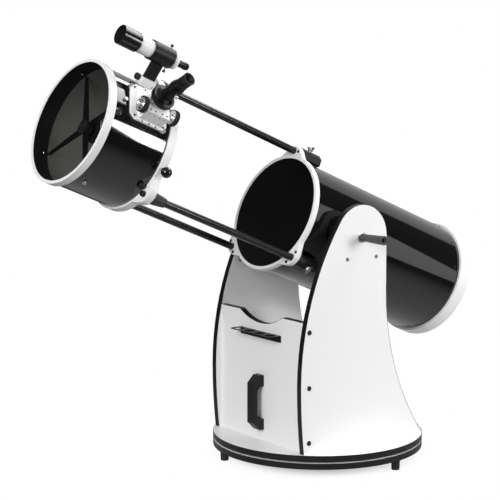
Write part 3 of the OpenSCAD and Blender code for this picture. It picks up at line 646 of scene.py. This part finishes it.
# ---- Upper tube and its rings ----
# The short upper tube has the same enamel outside, and a greyer flat coat inside up to a near-black band of
# painted shade at the mouth.
# Black caps close the rod ends, and a ball knob screws into the rear ring as a grip.
inner_olive = (0.066, 0.066, 0.060, 1)
inner_pale = (0.094, 0.094, 0.086, 1)
mouth_shade_band = 0.050
olive_paint = finish("flat coat in the upper tube", inner_olive, inner_pale, (0.72, 0.88), 800, 0.00006, 4.0,
                     rubs=0.5, shine=0.25)
# The near-black band just inside the mouth is painted shade: it darkens the wall there to stand in for its
# shadow.
painted_mouth_shade = finish("painted shade band at the mouth", (0.004, 0.004, 0.004, 1), flat_black, (0.75, 0.9), 900,
    0.00004, 6.0, rubs=0.3, shine=0.15)
ball_black = finish("gloss knob plastic", (0.006, 0.006, 0.006, 1), gloss_dust, (0.09, 0.16), 300, 0.000004,
    30.0, rubs=0.15, lacquer=0.5)
eased("upper_rear_ring", 1.4, white_coat, "upper_assembly", "white_casting")
eased("upper_front_ring", 1.6, white_coat, "upper_assembly", "white_casting")
b = bmesh.new()
cad_shape(b, "upper_tube", 0)
axis = on_tube()
back = axis.inverted()
# Inside faces in the last band towards the mouth get the painted shade; the other inside faces get the flat
# coat.
shade_band_at = max((back @ v.co).z for v in b.verts) - mouth_shade_band
bmesh.ops.bisect_plane(b, geom=b.verts[:] + b.edges[:] + b.faces[:], plane_co=axis @ Vector((0, 0, shade_band_at)),
                       plane_no=sky)
for face in b.faces:
    middle = back @ face.calc_center_median()
    radial = (axis.to_3x3() @ Vector((middle.x, middle.y, 0))).normalized()
    face.material_index = 0 if radial.dot(face.normal) > -0.6 else 2 if middle.z > shade_band_at else 1
tube = make(b, "upper_tube_rolled", [gloss_paint, olive_paint, painted_mouth_shade], "upper_assembly",
    "gloss_black_steel", "upper_tube", sharp=30)


def true_round(piece, place):
    """Sets exact round normals on a rolled sheet, so that long reflections run straight."""
    mesh = piece.data
    back = place.inverted()
    normals = [n.vector.copy() for n in mesh.corner_normals]
    for face in mesh.polygons:
        for loop in face.loop_indices:
            p = back @ mesh.vertices[mesh.loops[loop].vertex_index].co
            radial = (place.to_3x3() @ Vector((p.x, p.y, 0))).normalized()
            if abs(radial.dot(face.normal)) > 0.9:
                normals[loop] = radial if radial.dot(face.normal) > 0 else -radial
    mesh.normals_split_custom_set(normals)


true_round(tube, axis)
ring_top = span("upper_rear_ring", on_tube())[1].z
b = bmesh.new()
places = []
side_ribs = {"Count": 26, "Radius": 8.1, "Length": 6.5, "Rib": 0.42, "Lean": 0.0}
side_turn, side_rise, side_rib_up = 4.5, 16, 0.0071
for angle in rod_angles:
    turn(b, on_tube(angle, ring_top, rod_out - 2), [(0, 0, 0), (9.5, 0, 0), (9.2, 4, 0), (8, 11, 0),
        (0, 11, 0)], 40, 1.4, closed=False)
    side = facing_out(on_tube(angle + side_turn, ring_top + side_rise, tube_r - 1))
    turn(b, side, [(0, 0, 0), (6, 0, 0), (6, 2.5, 0), (8.1, 3.5, 0), (8.1, 10.8, 0), (6.4, 12, 0),
        (0, 12, 0)], 40, 0.7, closed=False)
    places.append(at_place(side @ Matrix.Translation((0, 0, side_rib_up))))
make(b, "ring_caps", [hub_plastic], "upper_assembly", "black_plastic", "upper_ring_knobs")
grow("ring_cap_ribs", ribs, side_ribs, hub_plastic, places, "upper_assembly", "black_plastic",
    "upper_ring_knobs")
ball_turn, ball_s, ball_r, ball_out = -15.5, 732, 16, 212
ball_place = facing_out(on_tube(ball_turn, ball_s, 0))
ball_line = [(ball_r * math.sin(math.radians(t)), ball_out - ball_r * math.cos(math.radians(t)), 0)
             for t in range(24, 180, 12)]
b = bmesh.new()
turn(b, ball_place, [(0, 187, 0), (5.5, 187, 0), (5.5, 194, 0), (6.4, 197, 0)] + ball_line + [(0, 228, 0)],
     56, 0.5, closed=False)
make(b, "pull_ball", [ball_black], "upper_assembly", "black_plastic", "pull_knob")

# ---- Spider and diagonal mirror ----
# Four thin pressed vanes carry a hub; its holder is cut at 45 degrees and carries an oval flat mirror.
# Bright knurled nuts outside the tube pull the vanes tight, and small bright screws sit at their feet.
# Three screws in the hub tilt the holder.
thumb_ribs = {"Count": 26, "Radius": 5.3, "Length": 4.6, "Rib": 0.36, "Lean": 0.0}
draw_way = Vector(joint("drawtube_travel")["axis"])
focuser_turn = math.degrees(math.atan2(draw_way.dot(sky.cross(across)), draw_way.dot(across)))
vane_low, vane_high = span("spider", on_tube())
vane_s = (vane_low.z + vane_high.z) / 2
chrome = finish("bright nickel", (0.85, 0.86, 0.87, 1), (0.60, 0.60, 0.60, 1), (0.07, 0.2), 700, 0.000006,
    40.0, metal=1.0, rubs=0.35)
vane_black = finish("black vane paint", (0.006, 0.006, 0.006, 1), flat_grey, (0.5, 0.68), 900, 0.00002, 20.0,
                    rubs=0.3, edge=0.4, shine=0.3)
eased("spider", 0.25, vane_black, "upper_assembly", "black_plastic")
nut_rib_up, foot_screw_rise = 0.0041, 4.5
b = bmesh.new()
places = []
for k in range(4):
    spot = facing_out(on_tube(focuser_turn + 90 * k, vane_s, tube_r))
    turn(b, spot, [(0, 0, 0), (6, 0, 0), (6, 1.2, 0), (5.2, 1.8, 0), (5.4, 6.2, 0), (4.6, 7, 0), (2.2, 7, 0),
                   (2.2, 6, 0), (0, 6, 0)], 32, 0.3, closed=False)
    places.append(at_place(spot @ Matrix.Translation((0, 0, nut_rib_up))))
make(b, "vane_nuts", [zinc], "upper_assembly", "bright_steel", "spider_screws")
grow("vane_nut_ribs", ribs, thumb_ribs, zinc, places, "upper_assembly", "bright_steel", "spider_screws")
foot_screw = {"Head Radius": 3.6, "Head Height": 1.8, "Key Radius": 1.5}
foot_places = [on_tube(focuser_turn + 90 * k, vane_high.z + foot_screw_rise, tube_r - tube_wall)
               for k in range(4)]
grow("vane_foot_screws", screws, foot_screw, chrome,
     [(at.translation, -(at.to_3x3() @ Vector((1, 0, 0)))) for at in foot_places],
     "upper_assembly", "bright_steel", "spider_screws")
eased("diagonal_holder", 0.7, black_coat, "upper_assembly", "black_plastic")
b = bmesh.new()
cad_shape(b, "diagonal_mirror", 0.35)
view_side = on_tube(focuser_turn).to_3x3() @ Vector((1, 0, -1)).normalized()
for face in b.faces:
    face.material_index = 1 if face.normal.dot(view_side) > 0.9 else 0
make(b, "diagonal_flat", [ground_glass, mirror_coat], "upper_assembly", "mirror_coating", "diagonal_mirror")

# ---- Focuser ----
# A white coated rack-and-pinion housing sits on a black saddle shaped to the tube.
# Many small black socket screws hold its plates, and a bright screw locks the drawtube.
saddle_black = finish("black saddle enamel", (0.008, 0.008, 0.008, 1), gloss_dust, (0.18, 0.3), 700,
    0.00002, 14.0, rubs=0.2, lacquer=0.3, edge=0.2)
spun = finish("spun aluminium", (0.86, 0.87, 0.88, 1), (0.55, 0.55, 0.55, 1), (0.12, 0.26), 900, 0.000012,
    40.0, metal=1.0, rubs=0.5)
rim_rubber = finish("knob rubber", (0.011, 0.011, 0.011, 1), (0.05, 0.05, 0.049, 1), (0.5, 0.68), 1500,
    0.00003, 50.0, rubs=0.35, shine=0.35)
plate_screw = {"Head Radius": 3.5, "Head Height": 2.0, "Key Radius": 1.8}
small_screw = {"Head Radius": 2.4, "Head Height": 1.3, "Key Radius": 1.2}
tiny_screw = {"Head Radius": 1.6, "Head Height": 0.8, "Key Radius": 0.8}
body_low, body_high = span("focuser_body", on_tube(focuser_turn))
focus_s = (body_low.z + body_high.z) / 2
focus = on_tube(focuser_turn, focus_s)


def off_focus(x, y, z):
    """A point of the housing, in millimetres out, round and along the tube."""
    return focus @ Vector((x * MM, y * MM, z * MM))


def facing(v):
    """A direction seen from the housing."""
    return focus.to_3x3() @ Vector(v)


eased("focuser_saddle", 1.4, saddle_black, "upper_assembly", "gloss_black_steel")
eased("focuser_body", 1.1, white_coat, "upper_assembly", "white_casting")
grow("plate_screws", screws, plate_screw, black_steel,
     [(off_focus(192, y, z), facing((1, 0, 0))) for y in (-47, 47) for z in (-50, 50)],
     "upper_assembly", "black_plastic", "focuser_screws")
grow("housing_screws", screws, small_screw, black_steel,
     [(off_focus(237, -43, z), facing((1, 0, 0))) for z in (-28, -12, 12, 28)]
     + [(off_focus(214, 33, z), facing((1, 0, 0))) for z in (-30, 30)]
     + [(off_focus(192, -56, z), facing((1, 0, 0))) for z in (-24, 0, 24)],
     "upper_assembly", "black_plastic", "focuser_screws")
grow("side_set_screws", screws, tiny_screw, black_steel,
     [(off_focus(x, -52, z), facing((0, -1, 0))) for x in (203, 227) for z in (-26, -9, 9, 26)]
     + [(off_focus(x, y, s * 38), facing((0, 0, s))) for x in (203, 214) for y in (-44, -8) for s in (-1, 1)],
     "upper_assembly", "black_plastic", "focuser_screws")

# ---- Drawtube and eyepiece adapter ----
# A plain bright drawtube; the black adapter on its end has a ribbed flange and steps down to a neck.
# A knurled screw in the collar at the top of the neck grips the eyepiece barrel.
draw_low, draw_high = span("drawtube", focus)
flange = draw_high.x
draw = facing_out(focus)
flange_ribs = {"Count": 60, "Radius": 35.5, "Length": 8.5, "Rib": 0.5, "Lean": 0.0}
black_anodised = finish("black anodising", (0.004, 0.004, 0.0045, 1), (0.018, 0.018, 0.019, 1), (0.24, 0.4),
    1500, 0.00001, 40.0, rubs=0.25, edge=0.5, metal=0.2)
b = bmesh.new()
turn(b, draw, [(25.5, draw_low.x, 0), (28.5, draw_low.x, 0), (28.5, flange, 0), (25.5, flange, 0)], 96, 0.5)
make(b, "bright_drawtube", [chrome], "focus_tube", "polished_aluminium", "drawtube")
b = bmesh.new()
turn(b, draw, [(16, flange - 8, 0), (25.3, flange - 8, 0), (25.3, flange, 0), (35.4, flange, 0),
    (36, flange + 1.5, 0), (36, flange + 3, 0), (35.4, flange + 3.6, 0), (35.4, flange + 12.4, 0),
    (36, flange + 13, 0), (36, flange + 15, 0), (34.8, flange + 16, 0), (29, flange + 16, 0),
    (28.7, flange + 17, 0), (21.4, flange + 22.6, 0), (18.6, flange + 23.4, 0), (18.6, flange + 59.4, 0),
    (20.6, flange + 60, 0), (21.5, flange + 61, 0), (21.5, flange + 62.4, 0), (21, flange + 63, 0),
    (21, flange + 69, 0), (21.5, flange + 69.6, 0), (21.5, flange + 73, 0), (20.6, flange + 74, 0),
    (16, flange + 74, 0)], 96, 0.35)
make(b, "stepped_adapter", [black_anodised], "focus_tube", "black_plastic", "eyepiece_adapter")
grow("flange_ribs", ribs, flange_ribs, black_anodised,
     [at_place(draw @ Matrix.Translation((0, 0, (flange + 8) * MM)))],
     "focus_tube", "black_plastic", "eyepiece_adapter")
screw_ribs = {"Count": 24, "Radius": 5.05, "Length": 7.0, "Rib": 0.36, "Lean": 0.0}
barrel_rib_up = 0.0297
spot = focus @ Matrix.Translation(((flange + 66) * MM, 0, 0)) @ Matrix.Rotation(math.pi / 2, 4, "X")
b = bmesh.new()
turn(b, spot, [(0, 17, 0), (2, 17, 0), (2, 23.5, 0), (3.6, 24, 0), (5, 25.2, 0), (5.1, 34, 0), (4.2, 35, 0),
    (0, 35, 0)], 32, 0.35, closed=False)
make(b, "barrel_screw", [spun], "ocular_screw", "bright_steel", "eyepiece_set_screw")
grow("barrel_screw_ribs", ribs, screw_ribs, spun,
     [at_place(spot @ Matrix.Translation((0, 0, barrel_rib_up)))],
    "ocular_screw", "bright_steel", "eyepiece_set_screw")

# ---- Focusing knobs and lock ----
# Spun aluminium knobs on one shaft, dished in rings on both faces, with ribbed rubber rims.
# The lock beside them has a knurled bright head.
tread = {"Count": 56, "Radius": 22.7, "Length": 12.5, "Rib": 0.75, "Lean": 0.0}
shaft = Vector(joint("focus_knob_turn")["pos_m"])
knob_low, knob_high = span("focus_knobs", focus)
knob_mid = (knob_low.z + knob_high.z) / 2
shaft_local = focus.inverted() @ shaft / MM
metal, rims, treads = bmesh.new(), bmesh.new(), []
half_span = (knob_high.z - knob_low.z) / 2
for side in (1, -1):
    spot = focus @ Matrix.Translation((shaft_local.x * MM, shaft_local.y * MM, knob_mid * MM))
    spot = spot @ Matrix.Rotation(0 if side == 1 else math.pi, 4, "X")
    a = half_span - 16
    turn(metal, spot, [(0, 0, 0), (3, 0, 0), (3, a - 5, 0), (9, a - 5, 0), (9, a + 0.5, 0),
        (13, a + 1.4, 0), (15, a + 0.8, 0), (17, a + 1.6, 0), (20.4, a + 0.6, 0), (20.4, a + 15.4, 0),
        (18, a + 14.4, 0), (17.2, a + 13.4, 0), (14, a + 13.0, 0), (13.2, a + 14.0, 0), (11, a + 14.2, 0),
        (10, a + 12.6, 0), (5.5, a + 12.2, 0), (4.8, a + 14.6, 0), (0, a + 15.0, 0)], 64, 0.4, closed=False)
    turn(rims, spot, [(20.5, a + 0.2, 0), (22.4, a, 0), (22.8, a + 1, 0), (22.8, a + 14.2, 0),
        (22.2, a + 15.2, 0), (20.5, a + 15.2, 0)], 64, 0.5)
    treads.append(at_place(spot @ Matrix.Translation((0, 0, (a + 8) * MM))))
make(metal, "knob_metal", [spun], "focus_shaft", "polished_aluminium", "focus_knobs")
make(rims, "knob_rims", [rim_rubber], "focus_shaft", "rubber_black", "focus_knobs")
grow("knob_tread", ribs, tread, rim_rubber, treads, "focus_shaft", "rubber_black", "focus_knobs")
lock_ribs = {"Count": 30, "Radius": 7.1, "Length": 8.0, "Rib": 0.45, "Lean": 0.0}
lock_out, lock_rib_up = 0.208, 0.0496
spot = focus @ Matrix.Translation((lock_out, 0, 0)) @ Matrix.Rotation(-math.pi / 2, 4, "X")
b = bmesh.new()
turn(b, spot, [(0, 29, 0), (2.5, 29, 0), (2.5, 43, 0), (6.2, 43.5, 0), (7.2, 45, 0), (7.4, 54, 0),
    (6, 55.4, 0), (0, 55.4, 0)], 40, 0.5, closed=False)
make(b, "drawtube_lock_turned", [spun], "focus_lock", "bright_steel", "drawtube_lock")
grow("drawtube_lock_ribs", ribs, lock_ribs, spun,
     [at_place(spot @ Matrix.Translation((0, 0, lock_rib_up)))],
    "focus_lock", "bright_steel", "drawtube_lock")

# ---- Eyepiece ----
# A black anodised barrel with a safety groove, a ribbed rubber grip and a soft eye cup.
# The eye lens sits deep in the cup.
grip_and_cup = 48
eye = span("eyepiece", focus)[1].x - grip_and_cup
eye_ribs = {"Count": 40, "Radius": 17.6, "Length": 13.0, "Rib": 0.5, "Lean": math.radians(-2.2)}
lens_glass = bpy.data.materials.new("coated lens")
lens_glass.use_nodes = True
tree = lens_glass.node_tree
tree.nodes.clear()
where = wire(tree, "ShaderNodeTexCoord").outputs["Object"]
film = wire(tree, "ShaderNodeTexNoise", (), {"Vector": where, "Scale": 60.0, "Detail": 2.0}).outputs[0]
tint = wire(tree, "ShaderNodeMix", {"data_type": "RGBA"},
            {0: film, 6: (0.004, 0.006, 0.014, 1), 7: (0.014, 0.008, 0.018, 1)}).outputs[2]
wipe = wire(tree, "ShaderNodeMapRange", (), {"Value": film, "To Min": 0.02, "To Max": 0.07}).outputs[0]
glass = wire(tree, "ShaderNodeBsdfPrincipled", (), {"Base Color": tint, "Roughness": wipe})
glass.inputs["Coat Weight"].default_value = 1.0
glass.inputs["Coat Roughness"].default_value = 0.02
wire(tree, "ShaderNodeOutputMaterial", (), {"Surface": glass.outputs[0]})
b = bmesh.new()
turn(b, draw, [(12.5, eye - 26, 0), (15.85, eye - 26, 0), (15.85, eye - 18, 0), (15.3, eye - 17, 0),
    (15.3, eye - 14, 0), (15.85, eye - 13, 0), (15.85, eye, 0), (18.6, eye, 0), (19.7, eye + 4.5, 0),
    (19.7, eye + 6, 0), (18.7, eye + 7, 0), (18.6, eye + 10.5, 0), (18.0, eye + 11, 0), (17.5, eye + 25, 0),
    (18.0, eye + 26, 0), (17.8, eye + 31, 0), (14.2, eye + 32, 0), (9, eye + 32.2, 0), (0, eye + 31.6, 0),
    (0, eye + 8, 0), (12.5, eye + 8, 0)], 72, 0.4, closed=False)
make(b, "eyepiece_barrel", [black_anodised], "ocular", "black_plastic", "eyepiece")
b = bmesh.new()
turn(b, draw, [(8.6, eye + 32.4, 0), (14.2, eye + 32.2, 0), (17.8, eye + 32.4, 0), (17.6, eye + 36, 0),
    (17.9, eye + 40, 0), (18.9, eye + 47, 0), (18.1, eye + 48, 0), (15.2, eye + 47, 0), (13, eye + 40, 0),
    (9.6, eye + 35, 0)], 72, 0.5)
make(b, "eye_cup", [rim_rubber], "ocular", "rubber_black", "eyepiece")
b = bmesh.new()
turn(b, draw, [(0, eye + 31.8, 0), (9.6, eye + 31.8, 0), (9.6, eye + 33.2, 0), (6.5, eye + 34.2, 0),
    (3.2, eye + 34.7, 0), (0, eye + 34.9, 0)], 48, 0.2, closed=False)
make(b, "eye_lens", [lens_glass], "ocular", "lens_glass", "eyepiece")
grow("eyepiece_ribs", ribs, eye_ribs, rim_rubber,
     [at_place(draw @ Matrix.Translation((0, 0, (eye + 18) * MM)))],
     "ocular", "rubber_black", "eyepiece")

# ---- Finder shoe and bracket ----
# A white dovetail shoe on the tube takes the foot of a black cast stalk; a knurled knob locks it.
# The ring on the stalk holds the finder on a narrow band in front and three long thin screws behind.
finder_rho = 282.0
shoe_low, shoe_high = span("finder_shoe", on_tube())
finder_turn = math.degrees(math.atan2((shoe_low.y + shoe_high.y) / 2, (shoe_low.x + shoe_high.x) / 2))
finder_turn = round(finder_turn)
shoe_s = 806.0
shoe = on_tube(finder_turn, shoe_s)
sight = on_tube(finder_turn, shoe_s, finder_rho)
clamp_ribs = {"Count": 22, "Radius": 8.9, "Length": 9.5, "Rib": 0.8, "Lean": math.radians(4)}
clamp_out, clamp_rib_up = 0.197, 0.0342
eased("finder_shoe", 0.9, white_coat, "upper_assembly", "white_casting")
eased("finder_bracket", 0.8, black_coat, "finder", "black_plastic")
spot = shoe @ Matrix.Translation((clamp_out, 0, 0))
b = bmesh.new()
turn(b, spot, [(0, 20, 0), (3, 20, 0), (3, 27.4, 0), (7.6, 27.5, 0), (8.6, 29, 0), (9.3, 39, 0), (8, 40.5, 0),
               (6.5, 40.5, 0), (6, 39.6, 0), (0, 39.6, 0)], 40, 0.5, closed=False)
make(b, "shoe_knob", [hub_plastic], "shoe_screw", "black_plastic", "finder_clamp")
grow("shoe_knob_ribs", ribs, clamp_ribs, hub_plastic,
     [at_place(spot @ Matrix.Translation((0, 0, clamp_rib_up)))],
    "shoe_screw", "black_plastic", "finder_clamp")
sight_screw_angles = (30, 190, 110)
sight_screw_s, sight_rib_up = -0.029, 0.0395
b = bmesh.new()
places = []
for angle in sight_screw_angles:
    aimed = Matrix.Rotation(math.radians(angle), 4, "Z")
    spot = facing_out(sight @ Matrix.Translation((0, 0, sight_screw_s)) @ aimed)
    turn(b, spot, [(0, 26, 0), (1.6, 26, 0), (1.6, 35.6, 0), (3.4, 36, 0), (4.2, 37, 0), (4.2, 42, 0),
        (3.2, 43, 0), (0, 43, 0)], 28, 0.4, closed=False)
    places.append(at_place(spot @ Matrix.Translation((0, 0, sight_rib_up))))
make(b, "sighting_screws", [black_steel], "finder", "bright_steel", "finder_screws")
sight_ribs = {"Count": 18, "Radius": 4.05, "Length": 4.6, "Rib": 0.4, "Lean": 0.0}
grow("sighting_screw_ribs", ribs, sight_ribs, black_steel, places, "finder", "bright_steel", "finder_screws")

# ---- Finder telescope ----
# A white coated tube with a black dew hood in front and a small black eyepiece behind.
# Its coated front lens sits at the back of the hood, which is flat black inside.
ocular_end, ocular_root, hood_root, hood_end = -96, -34, 88, 148
finder_black = finish("finder black enamel", (0.008, 0.008, 0.0085, 1), gloss_dust, (0.16, 0.28), 900,
    0.00001, 30.0, rubs=0.2, lacquer=0.4, edge=0.2)
b = bmesh.new()
turn(b, sight, [(10.5, -52, 0), (23, -52, 0), (24.5, -50.5, 0), (24.5, -37, 0), (24.2, -36, 0),
    (25, -36, 0), (25, hood_root, 0), (23.2, hood_root, 0), (23.2, -34, 0), (10.5, -36, 0)], 96, 0.6)
make(b, "finder_barrel", [white_coat], "finder", "white_casting", "finder_tube")
b = bmesh.new()
turn(b, sight, [(23.4, hood_root - 5, 0), (25.2, hood_root, 0), (28.5, hood_root, 0),
    (28.5, hood_root + 5, 0), (28.1, hood_root + 5.6, 0), (28.1, hood_root + 8, 0),
    (28.5, hood_root + 8.6, 0), (28.5, hood_end, 0), (26.3, hood_end, 1), (26.0, hood_root + 8, 1),
    (23.4, hood_root + 6, 1)], 96, 0.5)
make(b, "dew_hood", [finder_black, flat_paint], "finder", "black_plastic", "finder_hood")
b = bmesh.new()
pane = hood_root - 4
turn(b, sight, [(0, pane, 0), (23, pane, 0), (23, pane + 3, 0), (18, pane + 4.6, 0), (12, pane + 5.8, 0),
                (6, pane + 6.5, 0), (0, pane + 6.8, 0)],
     64, 0.2, closed=False)
make(b, "finder_front_lens", [lens_glass], "finder", "lens_glass", "finder_lens")
b = bmesh.new()
turn(b, sight, [(0, ocular_end + 2.5, 1), (5.5, ocular_end + 2.5, 0), (7.5, ocular_end, 0),
    (9.5, ocular_end, 0), (10.2, ocular_end + 4, 0), (11.5, ocular_end + 11, 0), (11.5, ocular_end + 12, 0),
    (10.4, ocular_end + 13, 0), (10.4, ocular_end + 17, 0), (10.0, ocular_end + 18, 0),
    (10.5, ocular_end + 19, 0), (10.5, ocular_root - 2, 0), (0, ocular_root - 2, 0)], 64, 0.4, closed=False)
make(b, "finder_ocular", [black_anodised, lens_glass], "finder", "black_plastic", "finder_eyepiece")
finder_ribs = {"Count": 26, "Radius": 10.1, "Length": 14.0, "Rib": 0.45, "Lean": 0.0}
grow("finder_ocular_ribs", ribs, finder_ribs, rim_rubber,
     [at_place(sight @ Matrix.Translation((0, 0, (ocular_end + 28) * MM)))],
     "finder", "black_plastic", "finder_eyepiece")

# ---- Floor, lights and camera ----
# A white sweep, pale to its rim, with a brighter wedge of backdrop for the tubes to reflect.
# A tall soft box and a dim one stand on the focuser side, one stands near the camera, and a wide
# panel hangs above and behind. The camera has a long lens and looks slightly down.
camera_at = (3.8467, -3.1136, 1.3358)
camera_az, camera_el = 53.53, 7.78
lens = 112.75
floor_white = (0.88, 0.88, 0.88, 1)
near_glow, far_glow, back_glow = 0.50, 0.03, 0.5
back_way, back_edge = (-0.797, 0.604, 0.0), (0.60, 0.64)
sky_low, sky_high = 0.12, 0.5
sky_from, sky_to = 0.25, 0.5
paper_r, light_r = 0.12, 0.38
glow_from, glow_to = 0.4, 2.4
wall_low, wall_high = 0.6, 1.4
floor_r, bend_r, wall_top, sweep_sides = 6.5, 1.5, 6, 96
# Each box: where it stands and the point it faces, in metres, then its width, height and watts.
soft_boxes = {
    "tall box": ((2.5, 0.93, 1.12), (0, 0.93, 1.12), 0.66, 0.86, 34),
    "dim side box": ((2.5, 2.6, 0.8), (0, 2.6, 0.8), 1.8, 2.2, 12),
    "front box": ((2.2, -4.6, 2.6), (0, -0.3, 0.7), 2.2, 2.2, 200),
    "top panel": ((0.0, 1.8, 3.4), (0, 0, 0.6), 3.5, 1.6, 95),
}
sweep = bpy.data.materials.new("white sweep")
sweep.use_nodes = True
tree = sweep.node_tree
tree.nodes.clear()
where = wire(tree, "ShaderNodeTexCoord").outputs["Object"]
flat = wire(tree, "ShaderNodeVectorMath", {"operation": "MULTIPLY"}, {0: where, 1: (1, 1, 0)}).outputs[0]
spread = wire(tree, "ShaderNodeVectorMath", {"operation": "LENGTH"}, {0: flat}).outputs["Value"]
glow = wire(tree, "ShaderNodeMapRange", {"interpolation_type": "SMOOTHSTEP"},
            {"Value": spread, "From Min": paper_r, "From Max": light_r}).outputs[0]
mottle = wire(tree, "ShaderNodeTexNoise", (), {"Vector": where, "Scale": 3.0}).outputs[0]
rough = wire(tree, "ShaderNodeMapRange", (), {"Value": mottle, "To Min": 0.8, "To Max": 0.95}).outputs[0]
paper = wire(tree, "ShaderNodeBsdfDiffuse", (), {"Color": floor_white, "Roughness": rough}).outputs[0]
level = wire(tree, "ShaderNodeSeparateXYZ", (), {"Vector": where}).outputs["Z"]
around = wire(tree, "ShaderNodeMapRange", {"interpolation_type": "SMOOTHSTEP"},
    {"Value": spread, "From Min": glow_from, "From Max": glow_to,
     "To Min": near_glow, "To Max": far_glow}).outputs[0]
way = wire(tree, "ShaderNodeVectorMath", {"operation": "NORMALIZE"}, {0: flat}).outputs[0]
facing = wire(tree, "ShaderNodeVectorMath", {"operation": "DOT_PRODUCT"},
    {0: way, 1: back_way}).outputs["Value"]
wedge = wire(tree, "ShaderNodeMapRange", (),
             {"Value": facing, "From Min": back_edge[0], "From Max": back_edge[1]}).outputs[0]
raised_part = wire(tree, "ShaderNodeMapRange", (),
                   {"Value": level, "From Min": wall_low, "From Max": wall_high}).outputs[0]
behind = wire(tree, "ShaderNodeMath", {"operation": "MULTIPLY"}, {0: wedge, 1: raised_part}).outputs[0]
wall = wire(tree, "ShaderNodeMix", {"data_type": "FLOAT"}, {0: behind, 2: around, 3: back_glow}).outputs[0]
eye = wire(tree, "ShaderNodeLightPath").outputs["Is Camera Ray"]
bright = wire(tree, "ShaderNodeMix", {"data_type": "FLOAT"}, {0: eye, 2: wall, 3: 1.0}).outputs[0]
light = wire(tree, "ShaderNodeEmission", (), {"Color": (1, 1, 1, 1), "Strength": bright}).outputs[0]
seen = wire(tree, "ShaderNodeMixShader", (), {0: glow, 1: paper, 2: light}).outputs[0]
wire(tree, "ShaderNodeOutputMaterial", (), {"Surface": seen})
b = bmesh.new()
bend = [(floor_r + bend_r * math.sin(t * math.pi / 16), bend_r - bend_r * math.cos(t * math.pi / 16))
        for t in range(1, 9)]
outline = [(0, 0), (floor_r, 0)] + bend + [(floor_r + bend_r, wall_top)]
rings = [[b.verts.new((r * math.cos(k * math.tau / sweep_sides), r * math.sin(k * math.tau / sweep_sides), z))
          for k in range(sweep_sides)] if r else [b.verts.new((0, 0, 0))] for r, z in outline]
for p, q in zip(rings, rings[1:]):
    for k in range(sweep_sides):
        m = (k + 1) % sweep_sides
        b.faces.new([p[0], q[k], q[m]] if len(p) == 1 else [p[k], q[k], q[m], p[m]])
mesh = bpy.data.meshes.new("sweep")
b.to_mesh(mesh)
b.free()
mesh.polygons.foreach_set("use_smooth", [True] * len(mesh.polygons))
mesh.materials.append(sweep)
floor = bpy.data.objects.new("sweep", mesh)
bpy.context.scene.collection.objects.link(floor)

world = bpy.data.worlds.new("room")
bpy.context.scene.world = world
world.use_nodes = True
tree = world.node_tree
tree.nodes.clear()
way = wire(tree, "ShaderNodeTexCoord").outputs["Generated"]
up = wire(tree, "ShaderNodeSeparateXYZ", (), {"Vector": way}).outputs["Z"]
height = wire(tree, "ShaderNodeMapRange", {"interpolation_type": "SMOOTHSTEP"},
    {"Value": up, "From Min": sky_from, "From Max": sky_to,
     "To Min": sky_low, "To Max": sky_high}).outputs[0]
eye = wire(tree, "ShaderNodeLightPath").outputs["Is Camera Ray"]
level = wire(tree, "ShaderNodeMix", {"data_type": "FLOAT"}, {0: eye, 2: height, 3: 1.0}).outputs[0]
glow = wire(tree, "ShaderNodeBackground", (), {"Color": (1, 1, 1, 1), "Strength": level}).outputs[0]
wire(tree, "ShaderNodeOutputWorld", (), {"Surface": glow})


def soft_box(name, at, aim, width, height, watts):
    """A soft rectangular light that faces the aim."""
    data = bpy.data.lights.new(name, "AREA")
    data.shape = "RECTANGLE"
    data.size, data.size_y, data.energy = width, height, watts
    lamp = bpy.data.objects.new(name, data)
    lamp.location = at
    lamp.rotation_euler = (Vector(aim) - Vector(at)).to_track_quat("-Z", "Y").to_euler()
    bpy.context.scene.collection.objects.link(lamp)


for name, settings in soft_boxes.items():
    soft_box(name, *settings)
bpy.context.scene.view_settings.view_transform = "Standard"

camera = bpy.data.objects.new("camera", bpy.data.cameras.new("camera"))
camera.data.lens = lens
camera.data.clip_end = 60
camera.location = camera_at
camera.rotation_euler = (math.radians(90 - camera_el), 0, math.radians(camera_az))
bpy.context.scene.collection.objects.link(camera)
bpy.context.scene.camera = camera
